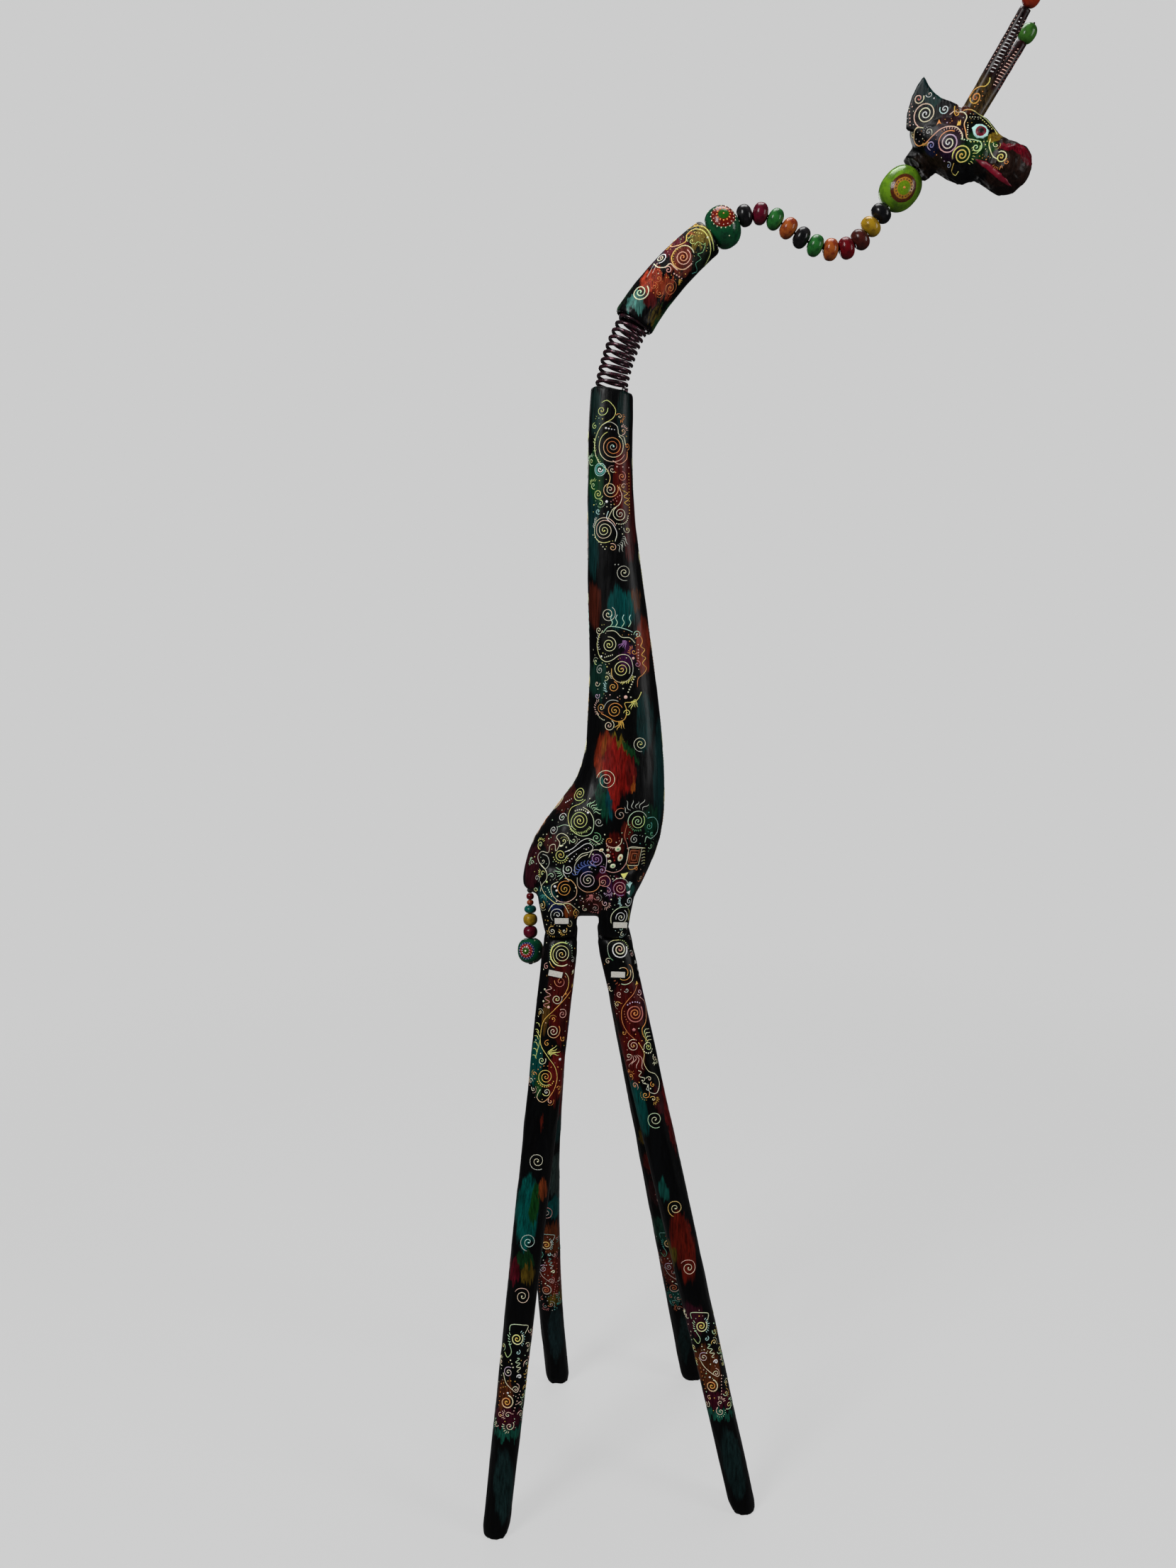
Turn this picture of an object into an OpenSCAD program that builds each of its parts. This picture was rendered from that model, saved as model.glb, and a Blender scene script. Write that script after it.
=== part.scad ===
// Carved giraffe statue: painted wooden body on four plug-in legs, with a coil
// spring in its neck, a beaded neck wire, a horned head and a beaded tail.
// The giraffe faces +X, its left side is +Y and it stands on the plane Z = 0.
// The origin is the middle of the floor area that the statue covers.

/* [Legs] */
// Height of the flat joint between each leg and its stub
hip_z = 720; // [700:1:730]
// Distance of each hip joint from the middle plane
hip_y = 32; // [30:1:34]
// Position of the hind hips along X
hind_hip_x = -225; // [-228:1:-222]
// Position of the front hips along X
front_hip_x = -161; // [-164:1:-156]
// Half width of a leg below its joint
leg_top_r = 22; // [20:0.5:23]
// Half width of a leg just above the floor
leg_foot_r = 17; // [15:0.5:18]
// Radius of the dowels that plug the legs in
dowel_r = 6; // [5:0.5:7]
// Depth of each dowel in the leg and in the stub
dowel_depth = 45; // [35:1:50]
// Gap between each leg and its stub
hip_gap = 0.3; // [0.2:0.1:1]

/* [Spring] */
// Radius of the spring from its axis to the middle of its wire
spring_r = 17.6; // [16:0.1:18]
// Thickness radius of the spring wire
spring_wire_r = 2.1; // [1.5:0.1:2.3]
// Number of turns of the spring
spring_turns = 10.5; // [8.5:1:11.5]
// Length of the spring along its bent axis
spring_length = 84; // [80:1:86]
// Lean of the spring from vertical at its lower end
spring_lean_low = 9; // [6:1:12]
// Lean of the spring from vertical at its upper end
spring_lean_high = 32; // [28:1:34]

/* [Upper neck] */
// Elevation of the upper neck's axis at its lower end
upper_low_angle = 58; // [54:1:60]
// Elevation of the upper neck's axis at its upper end
upper_high_angle = 37; // [34:1:40]
// Straight distance between the middles of the upper neck's ends
upper_chord = 129.6; // [125:0.1:132]
// Radius of the upper neck at its lower end
upper_low_r = 25.2; // [23.5:0.1:26]
// Radius of the upper neck at its upper end
upper_high_r = 21.3; // [18:0.1:22]
// Radius of the recess that takes the top of the spring
recess_r = 21.2; // [20.8:0.1:21.6]
// Depth of the recess
recess_depth = 10; // [8:0.5:12]

/* [Neck beads] */
// Radius of the neck wire
neck_wire_r = 1.4; // [1:0.1:1.5]
// Radius of a small neck bead
small_bead_r = 12.3; // [11:0.1:12.4]
// Half length of a small neck bead along the wire
small_bead_half = 8.8; // [8:0.1:8.8]
// Distance between the small beads' middles
small_bead_pitch = 18.5; // [18.4:0.01:18.6]
// Radius of the large green bead
green_bead_r = 24; // [22:0.5:25]
// Half length of the large green bead
green_bead_half = 18.6; // [18:0.1:18.6]
// Radius of the large lime bead
lime_bead_r = 22.3; // [21:0.1:23]
// Half length of the large lime bead
lime_bead_half = 24.8; // [24:0.1:25]
// Radius of the small beads' bores
bead_bore_r = 3; // [2.9:0.1:3.2]

/* [Head] */
// Turn of the head about the vertical, towards the giraffe's right
head_turn = 25; // [15:1:30]
// Elevation of the neck stub's axis
stub_angle = 50; // [45:1:55]
// Radius of a horn where it enters the head
horn_base_r = 8.7; // [7:0.1:9]
// Radius of a horn under its bead
horn_top_r = 6.2; // [5:0.1:7]
// Length of a horn outside the head
horn_length = 105; // [95:1:110]
// Depth of a horn in the head
horn_depth = 14; // [10:1:16]
// Radius of a horn bead
horn_bead_r = 9.4; // [8:0.1:10]
// Half length of a horn bead
horn_bead_half = 10.6; // [9:0.1:11]

/* [Tail] */
// Position of the tail along X
tail_x = -264.5; // [-268:0.5:-262]
// Height of the tail's pivot under the rump
tail_z = 774; // [773:1:775]
// Radius of the large bead at the tail's end
tail_end_r = 16.2; // [14:0.1:16.5]

/* [Hidden] */

black = [0.03, 0.03, 0.035];
steel = [0.35, 0.3, 0.32];
maroon = [0.36, 0.03, 0.08];
green = [0.04, 0.34, 0.12];
orange = [0.72, 0.24, 0.05];
red = [0.6, 0.04, 0.06];
brown = [0.22, 0.06, 0.04];
yellow = [0.72, 0.5, 0.05];
lime = [0.45, 0.62, 0.08];
teal = [0.03, 0.38, 0.34];
wood = [0.16, 0.1, 0.07];
paper = [0.92, 0.92, 0.9];

round_fn = 64;
thin_fn = 32;
fit = 0.05;

// ---- Lofts: rings of points that share a count, closed by two flat ends ----

loft_sides = 24;
carved = 2.3;

function power(v, e) = sign(v) * pow(abs(v), e);

// Unit section, squarer than a circle by the exponent
function section(sides, exponent) = [
    for (i = [0 : sides - 1])
        let (a = 360 * i / sides)
        [power(cos(a), 2 / exponent), power(sin(a), 2 / exponent)]
];

// Catmull-Rom value between b and c
function between(a, b, c, d, t) =
    0.5 * (2 * b + (c - a) * t + (2 * a - 5 * b + 4 * c - d) * t * t
        + (3 * b - a - 3 * c + d) * t * t * t);

// Rows of numbers with more rows put between them on a smooth curve
function smooth_rows(rows, steps) = [
    for (i = [0 : len(rows) - 2], k = [0 : steps - 1])
        between(rows[max(i - 1, 0)], rows[i], rows[i + 1],
            rows[min(i + 2, len(rows) - 1)], k / steps),
    rows[len(rows) - 1]
];

function middle_of(ring) = [for (k = [0 : 2]) [for (p = ring) p[k]] * [for (p = ring) 1] / len(ring)];

// Skin over the rings, with a fan of triangles about the middle of each end
module loft(rings) {
    n = len(rings[0]);
    last = len(rings) - 1;
    count = n * (last + 1);
    points = concat([for (ring = rings) each ring], [middle_of(rings[0]), middle_of(rings[last])]);
    sides = [
        for (r = [0 : last - 1], i = [0 : n - 1])
            let (j = (i + 1) % n)
            each [
                [r * n + i, (r + 1) * n + i, r * n + j],
                [r * n + j, (r + 1) * n + i, (r + 1) * n + j]
            ]
    ];
    ends = [
        for (i = [0 : n - 1])
            let (j = (i + 1) % n)
            each [[i, j, count], [last * n + j, last * n + i, count + 1]]
    ];
    polyhedron(points = points, faces = concat(sides, ends), convexity = 6);
}

// Level ring: row holds z, middle x, middle y, half x, half y and slope along x
function level_ring(row, unit) = [
    for (p = unit)
        [row[1] + row[3] * p[0], row[2] + row[4] * p[1], row[0] + row[5] * row[3] * p[0]]
];

module level_loft(rows, steps, sides = loft_sides) {
    unit = section(sides, carved);
    loft([for (row = smooth_rows(rows, steps)) level_ring(row, unit)]);
}

// ---- Body: torso and lower neck, with four stubs ----

// Height, back x, front x, half width and slope of the torso and neck
trunk = [
    [742, -230, -152, 22, 0],
    [748, -244, -142, 34, 0],
    [760, -254, -135, 42, 0],
    [770, -260, -130, 46, 0],
    [777, -273, -126, 48, 0],
    [802, -271, -115, 51, 0],
    [838, -259, -102, 52, 0],
    [874, -234, -97.5, 50, 0],
    [910, -208, -97.5, 46, 0],
    [945, -196, -99.5, 42, 0],
    [980, -193, -102.5, 39, 0],
    [1050, -190, -111, 35, 0],
    [1120, -192, -121, 31, 0],
    [1190, -193, -131, 28, 0],
    [1260, -193, -138, 26, 0],
    [1340, -191.5, -138.5, 25, -0.08],
    [1373, -189, -138, 24.5, -0.18]
];

module trunk_loft() {
    level_loft([
        for (t = trunk)
            [t[0], (t[1] + t[2]) / 2, 0, (t[2] - t[1]) / 2, t[3], t[4]]
    ], 2, 28);
}

// Stub rows: height above the hip, shift of x, shift towards the middle, half x, half y
hind_stub = [
    [0, 0, 0, 17, 16.5], [5, 0, 0, 20, 19.5], [24, -2, 0, 22, 20.5], [58, -3, 3, 27, 22], [84, 3, 7, 30, 24]
];
front_stub = [
    [0, 0, 0, 15, 16.5], [5, 0, 0, 18, 19.5], [24, 1.5, 0, 19.5, 20.5], [58, 4.5, 3, 23.5, 22],
    [84, 5.5, 7, 26.5, 24]
];

module stub(x, side, rows) {
    level_loft([
        for (r = rows)
            [hip_z + r[0], x + r[1], side * (hip_y - r[2]), r[3], r[4], 0]
    ], 2);
}

// Each leg's hip x, side, foot x, foot y and bow of its middle along x
leg_hind_right_at = [hind_hip_x, -1, -305, -143, 0];
leg_front_right_at = [front_hip_x, -1, 3, -103, 0];
leg_hind_left_at = [hind_hip_x, 1, -236, 151, -20];
leg_front_left_at = [front_hip_x, 1, -38, 158, 0];
legs_at = [leg_hind_right_at, leg_front_right_at, leg_hind_left_at, leg_front_left_at];

function hip(leg) = [leg[0], leg[1] * hip_y, hip_z];
function leg_line(leg) = [leg[2], leg[3], 0] - hip(leg);

// Puts a child drawn along +Z at a point, along a direction
module along(point, direction) {
    polar = acos(direction[2] / norm(direction));
    translate(point) rotate([0, polar, atan2(direction[1], direction[0])]) children();
}

// Room past each end of a dowel: in the wood, and outside it
dowel_room = 1;
dowel_mouth = 12;

module dowel_hole(leg, down) {
    along(hip(leg), leg_line(leg) * (down ? 1 : -1))
        rotate([0, 0, 25]) translate([0, 0, -dowel_mouth])
            cylinder(r = dowel_r + fit, h = dowel_depth + dowel_room + dowel_mouth, $fn = round_fn);
}

staple_leg_r = 0.8;
staple_leg_length = 9;
staple_half_span = 3.2;
tail_hole_r = 5.1;
tail_hole_depth = 8;
tail_hole_mouth = 6;

module body() {
    color(black) difference() {
        union() {
            trunk_loft();
            for (side = [-1, 1]) {
                stub(hind_hip_x, side, hind_stub);
                stub(front_hip_x, side, front_stub);
            }
        }
        for (leg = legs_at) dowel_hole(leg, false);
        translate([tail_x, 0, tail_z - tail_hole_mouth])
            cylinder(r = tail_hole_r, h = tail_hole_depth + tail_hole_mouth, $fn = round_fn);
        lower_staple(staple_leg_r + fit);
    }
}

// ---- Legs and their dowels ----

// Share of the way down, share of the top radius towards the foot radius, inset
leg_rows = [
    [0, 0, 4], [0.009, 0, 1.2], [0.03, 0, 0], [0.13, 0.07, 0], [0.25, 0.15, 0], [0.38, 0.3, 0],
    [0.5, 0.45, 0], [0.62, 0.62, 0], [0.75, 0.8, 0], [0.87, 0.92, 0], [0.985, 1, 0], [1, 1, 2]
];

module leg(leg) {
    start = hip_z - hip_gap;
    color(black) difference() {
        level_loft([
            for (r = leg_rows)
                let (p = hip(leg) + leg_line(leg) * r[0] + [4 * leg[4] * r[0] * (1 - r[0]), 0, 0])
                let (w = leg_top_r + (leg_foot_r - leg_top_r) * r[1] - r[2])
                [start * (1 - r[0]), p[0], p[1], w, w * 0.96, 0]
        ], 1, 16);
        dowel_hole(leg, true);
    }
}

module dowel(leg) {
    color(wood) along(hip(leg), leg_line(leg))
        translate([0, 0, -dowel_depth]) cylinder(r = dowel_r, h = 2 * dowel_depth, $fn = round_fn);
}

// ---- Spring and its staples ----

spring_start = [-164.8, 0, 1376.2];
close_pitch = 2 * spring_wire_r + 2.6;
open_pitch = (spring_length - 2 * close_pitch) / (spring_turns - 2);
spring_bend_r = spring_length / ((spring_lean_high - spring_lean_low) * PI / 180);

// Distance along the axis after a number of turns, with one close turn at each end
function spring_travel(turn) =
    turn < 1 ? close_pitch * turn
    : turn > spring_turns - 1 ? spring_length - close_pitch * (spring_turns - turn)
    : close_pitch + open_pitch * (turn - 1);

function spring_lean(s) = spring_lean_low + (spring_lean_high - spring_lean_low) * s / spring_length;
function spring_axis(s) = spring_start + spring_bend_r * [
    cos(spring_lean_low) - cos(spring_lean(s)), 0, sin(spring_lean(s)) - sin(spring_lean_low)
];

function coil_ring(turn, sides) =
    let (s = spring_travel(turn), lean = spring_lean(s))
    let (up = [sin(lean), 0, cos(lean)], front = [cos(lean), 0, -sin(lean)])
    let (out = front * cos(360 * turn) + [0, 1, 0] * sin(360 * turn))
    [
        for (i = [0 : sides - 1])
            let (a = -360 * i / sides)
            spring_axis(s) + out * (spring_r + spring_wire_r * cos(a)) + up * spring_wire_r * sin(a)
    ];

module neck_spring() {
    steps = 20;
    color(steel) loft([for (k = [0 : spring_turns * steps]) coil_ring(k / steps, 8)]);
}

// Two legs in the wood and a bar over the spring's end turn
module staple(radius, rise) {
    for (side = [-1, 1])
        translate([side * staple_half_span, 0, -staple_leg_length])
            cylinder(r = radius, h = staple_leg_length + rise, $fn = thin_fn);
    translate([-staple_half_span, 0, rise]) rotate([0, 90, 0])
        cylinder(r = radius, h = 2 * staple_half_span, $fn = thin_fn);
    for (side = [-1, 1])
        translate([side * staple_half_span, 0, rise]) sphere(r = radius, $fn = thin_fn);
}

// The bar lies midway between the end turn and the next one
staple_rise = 2 * spring_wire_r + 1.6;
// Angle of each staple from the end of the wire
staple_angle = 20;
staple_drop = spring_wire_r + 0.2;

module lower_staple(radius) {
    translate(spring_start) rotate([0, spring_lean_low, 0]) rotate([0, 0, staple_angle])
        translate([spring_r, 0, -staple_drop]) staple(radius, staple_rise);
}

module upper_staple(radius) {
    translate(spring_axis(spring_length)) rotate([0, spring_lean_high, 0]) rotate([0, 0, 180 - staple_angle])
        translate([spring_r, 0, staple_drop]) rotate([180, 0, 0]) staple(radius, staple_rise);
}

module spring_staple_lower() {
    color(steel) lower_staple(staple_leg_r);
}

module spring_staple_upper() {
    color(steel) upper_staple(staple_leg_r);
}

// ---- Upper neck: a bent round log with a recess and a wire hole ----

upper_start = [-139, 0, 1450];
upper_turn = upper_low_angle - upper_high_angle;
upper_bend_r = upper_chord / (2 * sin(upper_turn / 2));

function upper_axis(t) =
    let (e = upper_low_angle - upper_turn * t)
    upper_start + upper_bend_r * [
        sin(upper_low_angle) - sin(e), 0, cos(e) - cos(upper_low_angle)
    ];

// Share of the length and inset of each ring
upper_rows = [
    [0, 1.6], [0.012, 0.4], [0.03, 0], [0.15, 0], [0.3, 0], [0.45, 0], [0.6, 0], [0.75, 0], [0.9, 0],
    [0.97, 0], [0.988, 0.4], [1, 1.6]
];

function upper_ring(row) =
    let (e = upper_low_angle - upper_turn * row[0])
    let (r = upper_low_r + (upper_high_r - upper_low_r) * row[0] - row[1])
    let (across = [sin(e), 0, -cos(e)])
    [for (p = section(32, 2.08)) upper_axis(row[0]) + across * r * p[0] + [0, 1, 0] * r * p[1]];

wire_hole_r = 4.2;
wire_hole_depth = 16;

module upper_neck() {
    color(maroon) difference() {
        loft([for (row = upper_rows) upper_ring(row)]);
        translate(upper_start) rotate([0, 90 - upper_low_angle, 0])
            translate([0, 0, -5]) cylinder(r = recess_r, h = recess_depth + 5, $fn = round_fn);
        translate(upper_axis(1)) rotate([0, 90 - upper_high_angle, 0])
            translate([0, 0, -wire_hole_depth])
                cylinder(r = wire_hole_r, h = wire_hole_depth + 5, $fn = round_fn);
        upper_staple(staple_leg_r + fit);
    }
}

// ---- Neck wire: its route in x and z, and the beads along it ----

route = [
    [-61, 1538.4], [-51.4, 1545.6], [-33, 1558], [-14, 1568], [6, 1571.5], [27, 1564], [54, 1546],
    [78, 1534], [103, 1532], [122, 1541], [135, 1556], [149, 1573.5], [169, 1599], [186, 1619.5],
    [193.7, 1628.7]
];
route_points = smooth_rows(route, 8);
route_lengths = [
    for (i = 0, s = 0; i < len(route_points);
        i = i + 1,
        s = i < len(route_points) ? s + norm(route_points[i] - route_points[i - 1]) : s) s
];
route_x = [for (i = [0 : len(route_points) - 1]) [route_lengths[i], route_points[i][0]]];
route_z = [for (i = [0 : len(route_points) - 1]) [route_lengths[i], route_points[i][1]]];

function route_at(s) = [lookup(s, route_x), 0, lookup(s, route_z)];
function route_angle(s) =
    let (d = route_at(s + 3) - route_at(s - 3))
    atan2(d[2], d[0]);

bead_gap = 0.4;
green_bead_s = 12 + bead_gap + green_bead_half;
first_small_s = green_bead_s + green_bead_half + small_bead_half + 2 * bead_gap;
lime_bead_s = first_small_s + 10 * small_bead_pitch + small_bead_half + lime_bead_half + 2 * bead_gap;

function wire_ring(i, sides) =
    let (a = route_points[max(i - 1, 0)], b = route_points[min(i + 1, len(route_points) - 1)])
    let (e = atan2(b[1] - a[1], b[0] - a[0]))
    [
        for (k = [0 : sides - 1])
            let (t = -360 * k / sides)
            [
                route_points[i][0] - sin(e) * neck_wire_r * cos(t),
                neck_wire_r * sin(t),
                route_points[i][1] + cos(e) * neck_wire_r * cos(t)
            ]
    ];

module neck_wire() {
    color(steel) loft([for (i = [0 : 2 : len(route_points) - 1]) wire_ring(i, 8)]);
}

// Solid of revolution with an oval side and a bore, along +Z about the origin
module bead(radius, half, bore) {
    arc = acos(bore / radius);
    steps = 20;
    rotate_extrude($fn = round_fn) polygon([
        for (k = [0 : steps])
            let (a = -arc + 2 * arc * k / steps)
            [radius * cos(a), half * sin(a)]
    ]);
}

module wire_bead(s, radius, half, bore) {
    translate(route_at(s)) rotate([0, 90 - route_angle(s), 0]) bead(radius, half, bore);
}

module small_bead(index) {
    wire_bead(first_small_s + index * small_bead_pitch, small_bead_r, small_bead_half, bead_bore_r);
}

module bead_large_green() {
    color(green) wire_bead(green_bead_s, green_bead_r, green_bead_half, bead_bore_r + 0.4);
}
module bead_black_1() {
    color(black) small_bead(0);
}
module bead_maroon() {
    color(maroon) small_bead(1);
}
module bead_green_1() {
    color(green) small_bead(2);
}
module bead_orange_1() {
    color(orange) small_bead(3);
}
module bead_black_2() {
    color(black) small_bead(4);
}
module bead_green_2() {
    color(green) small_bead(5);
}
module bead_orange_2() {
    color(orange) small_bead(6);
}
module bead_red() {
    color(red) small_bead(7);
}
module bead_brown() {
    color(brown) small_bead(8);
}
module bead_yellow() {
    color(yellow) small_bead(9);
}
module bead_black_3() {
    color(black) small_bead(10);
}
module bead_large_lime() {
    color(lime) wire_bead(lime_bead_s, lime_bead_r, lime_bead_half, bead_bore_r + 0.4);
}

// ---- Head, horns and horn beads ----

head_at = [186, 0, 1619.5];

// Distance forward, lowest z, highest z and half width of each section
head_rows = [
    [-7, 30, 47, 9],
    [-3, 22, 55, 19],
    [4, 10, 61, 25],
    [14, 0, 63, 29],
    [26, -9, 63, 31],
    [40, -19, 60, 32],
    [52, -23, 55, 31],
    [64, -21, 50, 29],
    [78, -31, 40, 26],
    [90, -40, 24, 27],
    [101, -41, 15, 27],
    [112, -37, 10, 24],
    [121, -28, 4, 18],
    [126, -18, -5, 8]
];

// Outline of an ear in x and z, from its back edge over the tip to its front edge
ear_outline = [
    [-8, 36], [-7, 52], [-2, 68], [4, 79], [11, 87], [16, 77], [22, 69], [30, 62], [40, 57],
    [49, 52], [44, 40], [14, 26]
];
ear_thickness = 9;
ear_inner_y = 20;
ear_splay = 6;

module head_loft() {
    unit = section(24, 2.2);
    loft([
        for (row = smooth_rows(head_rows, 2))
            let (mid = (row[1] + row[2]) / 2, half = (row[2] - row[1]) / 2)
            [for (p = unit) [row[0], row[3] * p[0], mid + half * p[1]]]
    ]);
}

module ear(side) {
    scale([1, side, 1]) translate([0, ear_inner_y, 40]) rotate([-ear_splay, 0, 0]) translate([0, 0, -40])
        rotate([90, 0, 0]) mirror([0, 0, 1]) linear_extrude(ear_thickness) polygon(ear_outline);
}

// The right horn, then the shorter left one: start, direction and length
horns = [
    [[60, -16, 48], [0.531, -0.152, 0.834], horn_length],
    [[58, 14, 48], [0.519, 0.146, 0.843], horn_length - 11.5]
];
right = 0;
left = 1;

// Places a child drawn along +Z on a horn's axis, in the head's frame
module on_horn(side) {
    along(horns[side][0], horns[side][1]) children();
}

module in_head() {
    translate(head_at) rotate([0, 0, -head_turn]) children();
}

// Radius of the neck stub at its end, and how much it grows up to the head
stub_r = 19;
stub_growth = 3;
stub_length = 46;
stub_sides = 9;
// How far a horn hole runs on past the wood
horn_clear = 30;
head_hole_depth = 13;

module head() {
    color(brown) difference() {
        union() {
            in_head() {
                head_loft();
                ear(1);
                ear(-1);
            }
            translate(head_at) rotate([0, 90 - stub_angle, 0])
                cylinder(r1 = stub_r, r2 = stub_r + stub_growth, h = stub_length, $fn = stub_sides);
        }
        translate(head_at) rotate([0, 90 - stub_angle, 0])
            translate([0, 0, -2]) cylinder(r = wire_hole_r, h = head_hole_depth + 2, $fn = round_fn);
        in_head() for (side = [right, left]) on_horn(side)
            translate([0, 0, -horn_depth])
                cylinder(r = horn_base_r + fit, h = horn_depth + horn_clear, $fn = round_fn);
    }
}

// Height over which a horn keeps its full radius outside the head
horn_collar = 4;
horn_pin_r = 1.4;
horn_pin_out = 2.5;
horn_pin_length = 2 * horn_bead_half + horn_pin_out;

module horn(side) {
    color(maroon) in_head() on_horn(side) union() {
        translate([0, 0, -horn_depth + 0.2])
            cylinder(r = horn_base_r, h = horn_depth + horn_collar, $fn = round_fn);
        translate([0, 0, horn_collar])
            cylinder(r1 = horn_base_r, r2 = horn_top_r, h = horns[side][2] - horn_collar, $fn = round_fn);
        translate([0, 0, horns[side][2] - 1])
            cylinder(r = horn_pin_r, h = horn_pin_length + 1, $fn = thin_fn);
    }
}

module horn_bead(side) {
    in_head() on_horn(side) translate([0, 0, horns[side][2] + horn_bead_half])
        bead(horn_bead_r, horn_bead_half, horn_pin_r + fit);
}

module horn_bead_red() {
    color(red) horn_bead(right);
}
module horn_bead_green() {
    color(green) horn_bead(left);
}

// ---- Tail: a knob on the rump and a wire of beads under it ----

tail_gap = 0.3;
tail_bore_r = 1.1;
tail_wire_r = 1;
// Radius and height of each bead, from the top
tail_sizes = [[4.7, 8.6], [4.2, 6.6], [7.5, 10], [8.8, 15.8], [8.8, 15.6], [tail_end_r, 32]];
knob_r = 3.8;
knob_height = 7.4;

// Distance from the pivot down to the top of a bead
function tail_drop(index) = index == 0 ? knob_height + tail_gap
    : tail_drop(index - 1) + tail_sizes[index - 1][1] + tail_gap;

module tail_bead(index) {
    size = tail_sizes[index];
    translate([tail_x, 0, tail_z - tail_drop(index) - size[1] / 2]) bead(size[0], size[1] / 2, tail_bore_r);
}

module tail_knob() {
    color(black) union() {
        translate([tail_x, 0, tail_z - knob_height / 2 - 0.4]) bead(knob_r, knob_height / 2 - 0.2, 0.01);
        translate([tail_x, 0, tail_z - 2]) cylinder(r = tail_wire_r, h = 8, $fn = thin_fn);
    }
}

module tail_wire() {
    foot_height = 1.6;
    foot_r = 2.4;
    bottom = tail_z - tail_drop(len(tail_sizes)) + tail_gap;
    height = tail_z - knob_height - bottom;
    color(steel) union() {
        translate([tail_x, 0, bottom - 1]) cylinder(r = tail_wire_r, h = height + 0.6, $fn = thin_fn);
        translate([tail_x, 0, bottom - foot_height]) cylinder(r = foot_r, h = foot_height, $fn = thin_fn);
    }
}

module tail_bead_red_small() {
    color(maroon) tail_bead(0);
}
module tail_bead_orange() {
    color(orange) tail_bead(1);
}
module tail_bead_teal() {
    color(teal) tail_bead(2);
}
module tail_bead_yellow() {
    color(yellow) tail_bead(3);
}
module tail_bead_red() {
    color(red) tail_bead(4);
}
module tail_bead_large_green() {
    color(green) tail_bead(5);
}

// ---- Paper labels, blank ----

label_size = [17, 0.4, 7];

// A plate whose back face stands off a surface on the right side
module label(x, y, z, lean, roll) {
    color(paper) translate([x, y, z]) rotate([lean, roll, 0])
        translate([-label_size[0] / 2, -label_size[1], -label_size[2] / 2]) cube(label_size);
}

module label_hind_stub() {
    label(-224, -hip_y - 21.1, 744, 0, 0);
}
module label_front_stub() {
    label(-153, -hip_y - 21.2, 739, 0, 0);
}
module label_hind_leg() {
    label(-231.5, -hip_y - 28.1, 680, -8.8, 12);
}
module label_front_leg() {
    label(-155.5, -hip_y - 26, 678.5, -5.6, 2);
}

body();
leg(leg_hind_right_at);  // leg_hind_right
leg(leg_front_right_at);  // leg_front_right
leg(leg_hind_left_at);  // leg_hind_left
leg(leg_front_left_at);  // leg_front_left
dowel(leg_hind_right_at);  // dowel_hind_right
dowel(leg_front_right_at);  // dowel_front_right
dowel(leg_hind_left_at);  // dowel_hind_left
dowel(leg_front_left_at);  // dowel_front_left
neck_spring();
spring_staple_lower();
spring_staple_upper();
upper_neck();
neck_wire();
bead_large_green();
bead_black_1();
bead_maroon();
bead_green_1();
bead_orange_1();
bead_black_2();
bead_green_2();
bead_orange_2();
bead_red();
bead_brown();
bead_yellow();
bead_black_3();
bead_large_lime();
head();
horn(right);  // horn_right
horn(left);  // horn_left
horn_bead_red();
horn_bead_green();
tail_knob();
tail_wire();
tail_bead_red_small();
tail_bead_orange();
tail_bead_teal();
tail_bead_yellow();
tail_bead_red();
tail_bead_large_green();
label_hind_stub();
label_front_stub();
label_hind_leg();
label_front_leg();
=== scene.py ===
"""Looks of the carved giraffe statue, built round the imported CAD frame.
Pieces and marks are laid out in millimetres, which MM turns into metres.
Camera, floor and lights are in metres."""

import math
import random

import bmesh
import bpy
import numpy as np
from mathutils import Matrix, Vector, noise
from mathutils.bvhtree import BVHTree


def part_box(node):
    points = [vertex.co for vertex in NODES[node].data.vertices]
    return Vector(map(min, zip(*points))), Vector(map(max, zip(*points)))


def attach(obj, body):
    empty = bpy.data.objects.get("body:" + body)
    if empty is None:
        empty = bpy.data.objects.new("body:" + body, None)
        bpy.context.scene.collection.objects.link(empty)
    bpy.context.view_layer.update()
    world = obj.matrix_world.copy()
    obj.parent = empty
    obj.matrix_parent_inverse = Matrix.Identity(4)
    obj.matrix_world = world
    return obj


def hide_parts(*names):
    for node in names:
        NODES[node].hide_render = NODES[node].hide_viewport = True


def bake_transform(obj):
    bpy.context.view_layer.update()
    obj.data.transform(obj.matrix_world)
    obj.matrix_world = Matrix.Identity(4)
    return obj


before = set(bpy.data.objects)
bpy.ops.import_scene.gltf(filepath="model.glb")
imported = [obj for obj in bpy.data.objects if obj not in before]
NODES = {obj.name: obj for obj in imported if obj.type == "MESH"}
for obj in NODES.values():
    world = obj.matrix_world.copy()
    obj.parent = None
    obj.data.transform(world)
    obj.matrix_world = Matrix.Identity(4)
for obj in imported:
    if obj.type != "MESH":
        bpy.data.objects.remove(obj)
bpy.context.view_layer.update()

MM = 0.001
X_AXIS, Y_AXIS, Z_AXIS = Vector((1, 0, 0)), Vector((0, 1, 0)), Vector((0, 0, 1))

# ---- Camera ----

CAMERA_AT = (-0.192, -1.443, 1.107)
CAMERA_PITCH = 8
CAMERA_FOV = 67.3
SENSOR = 36.0

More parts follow.
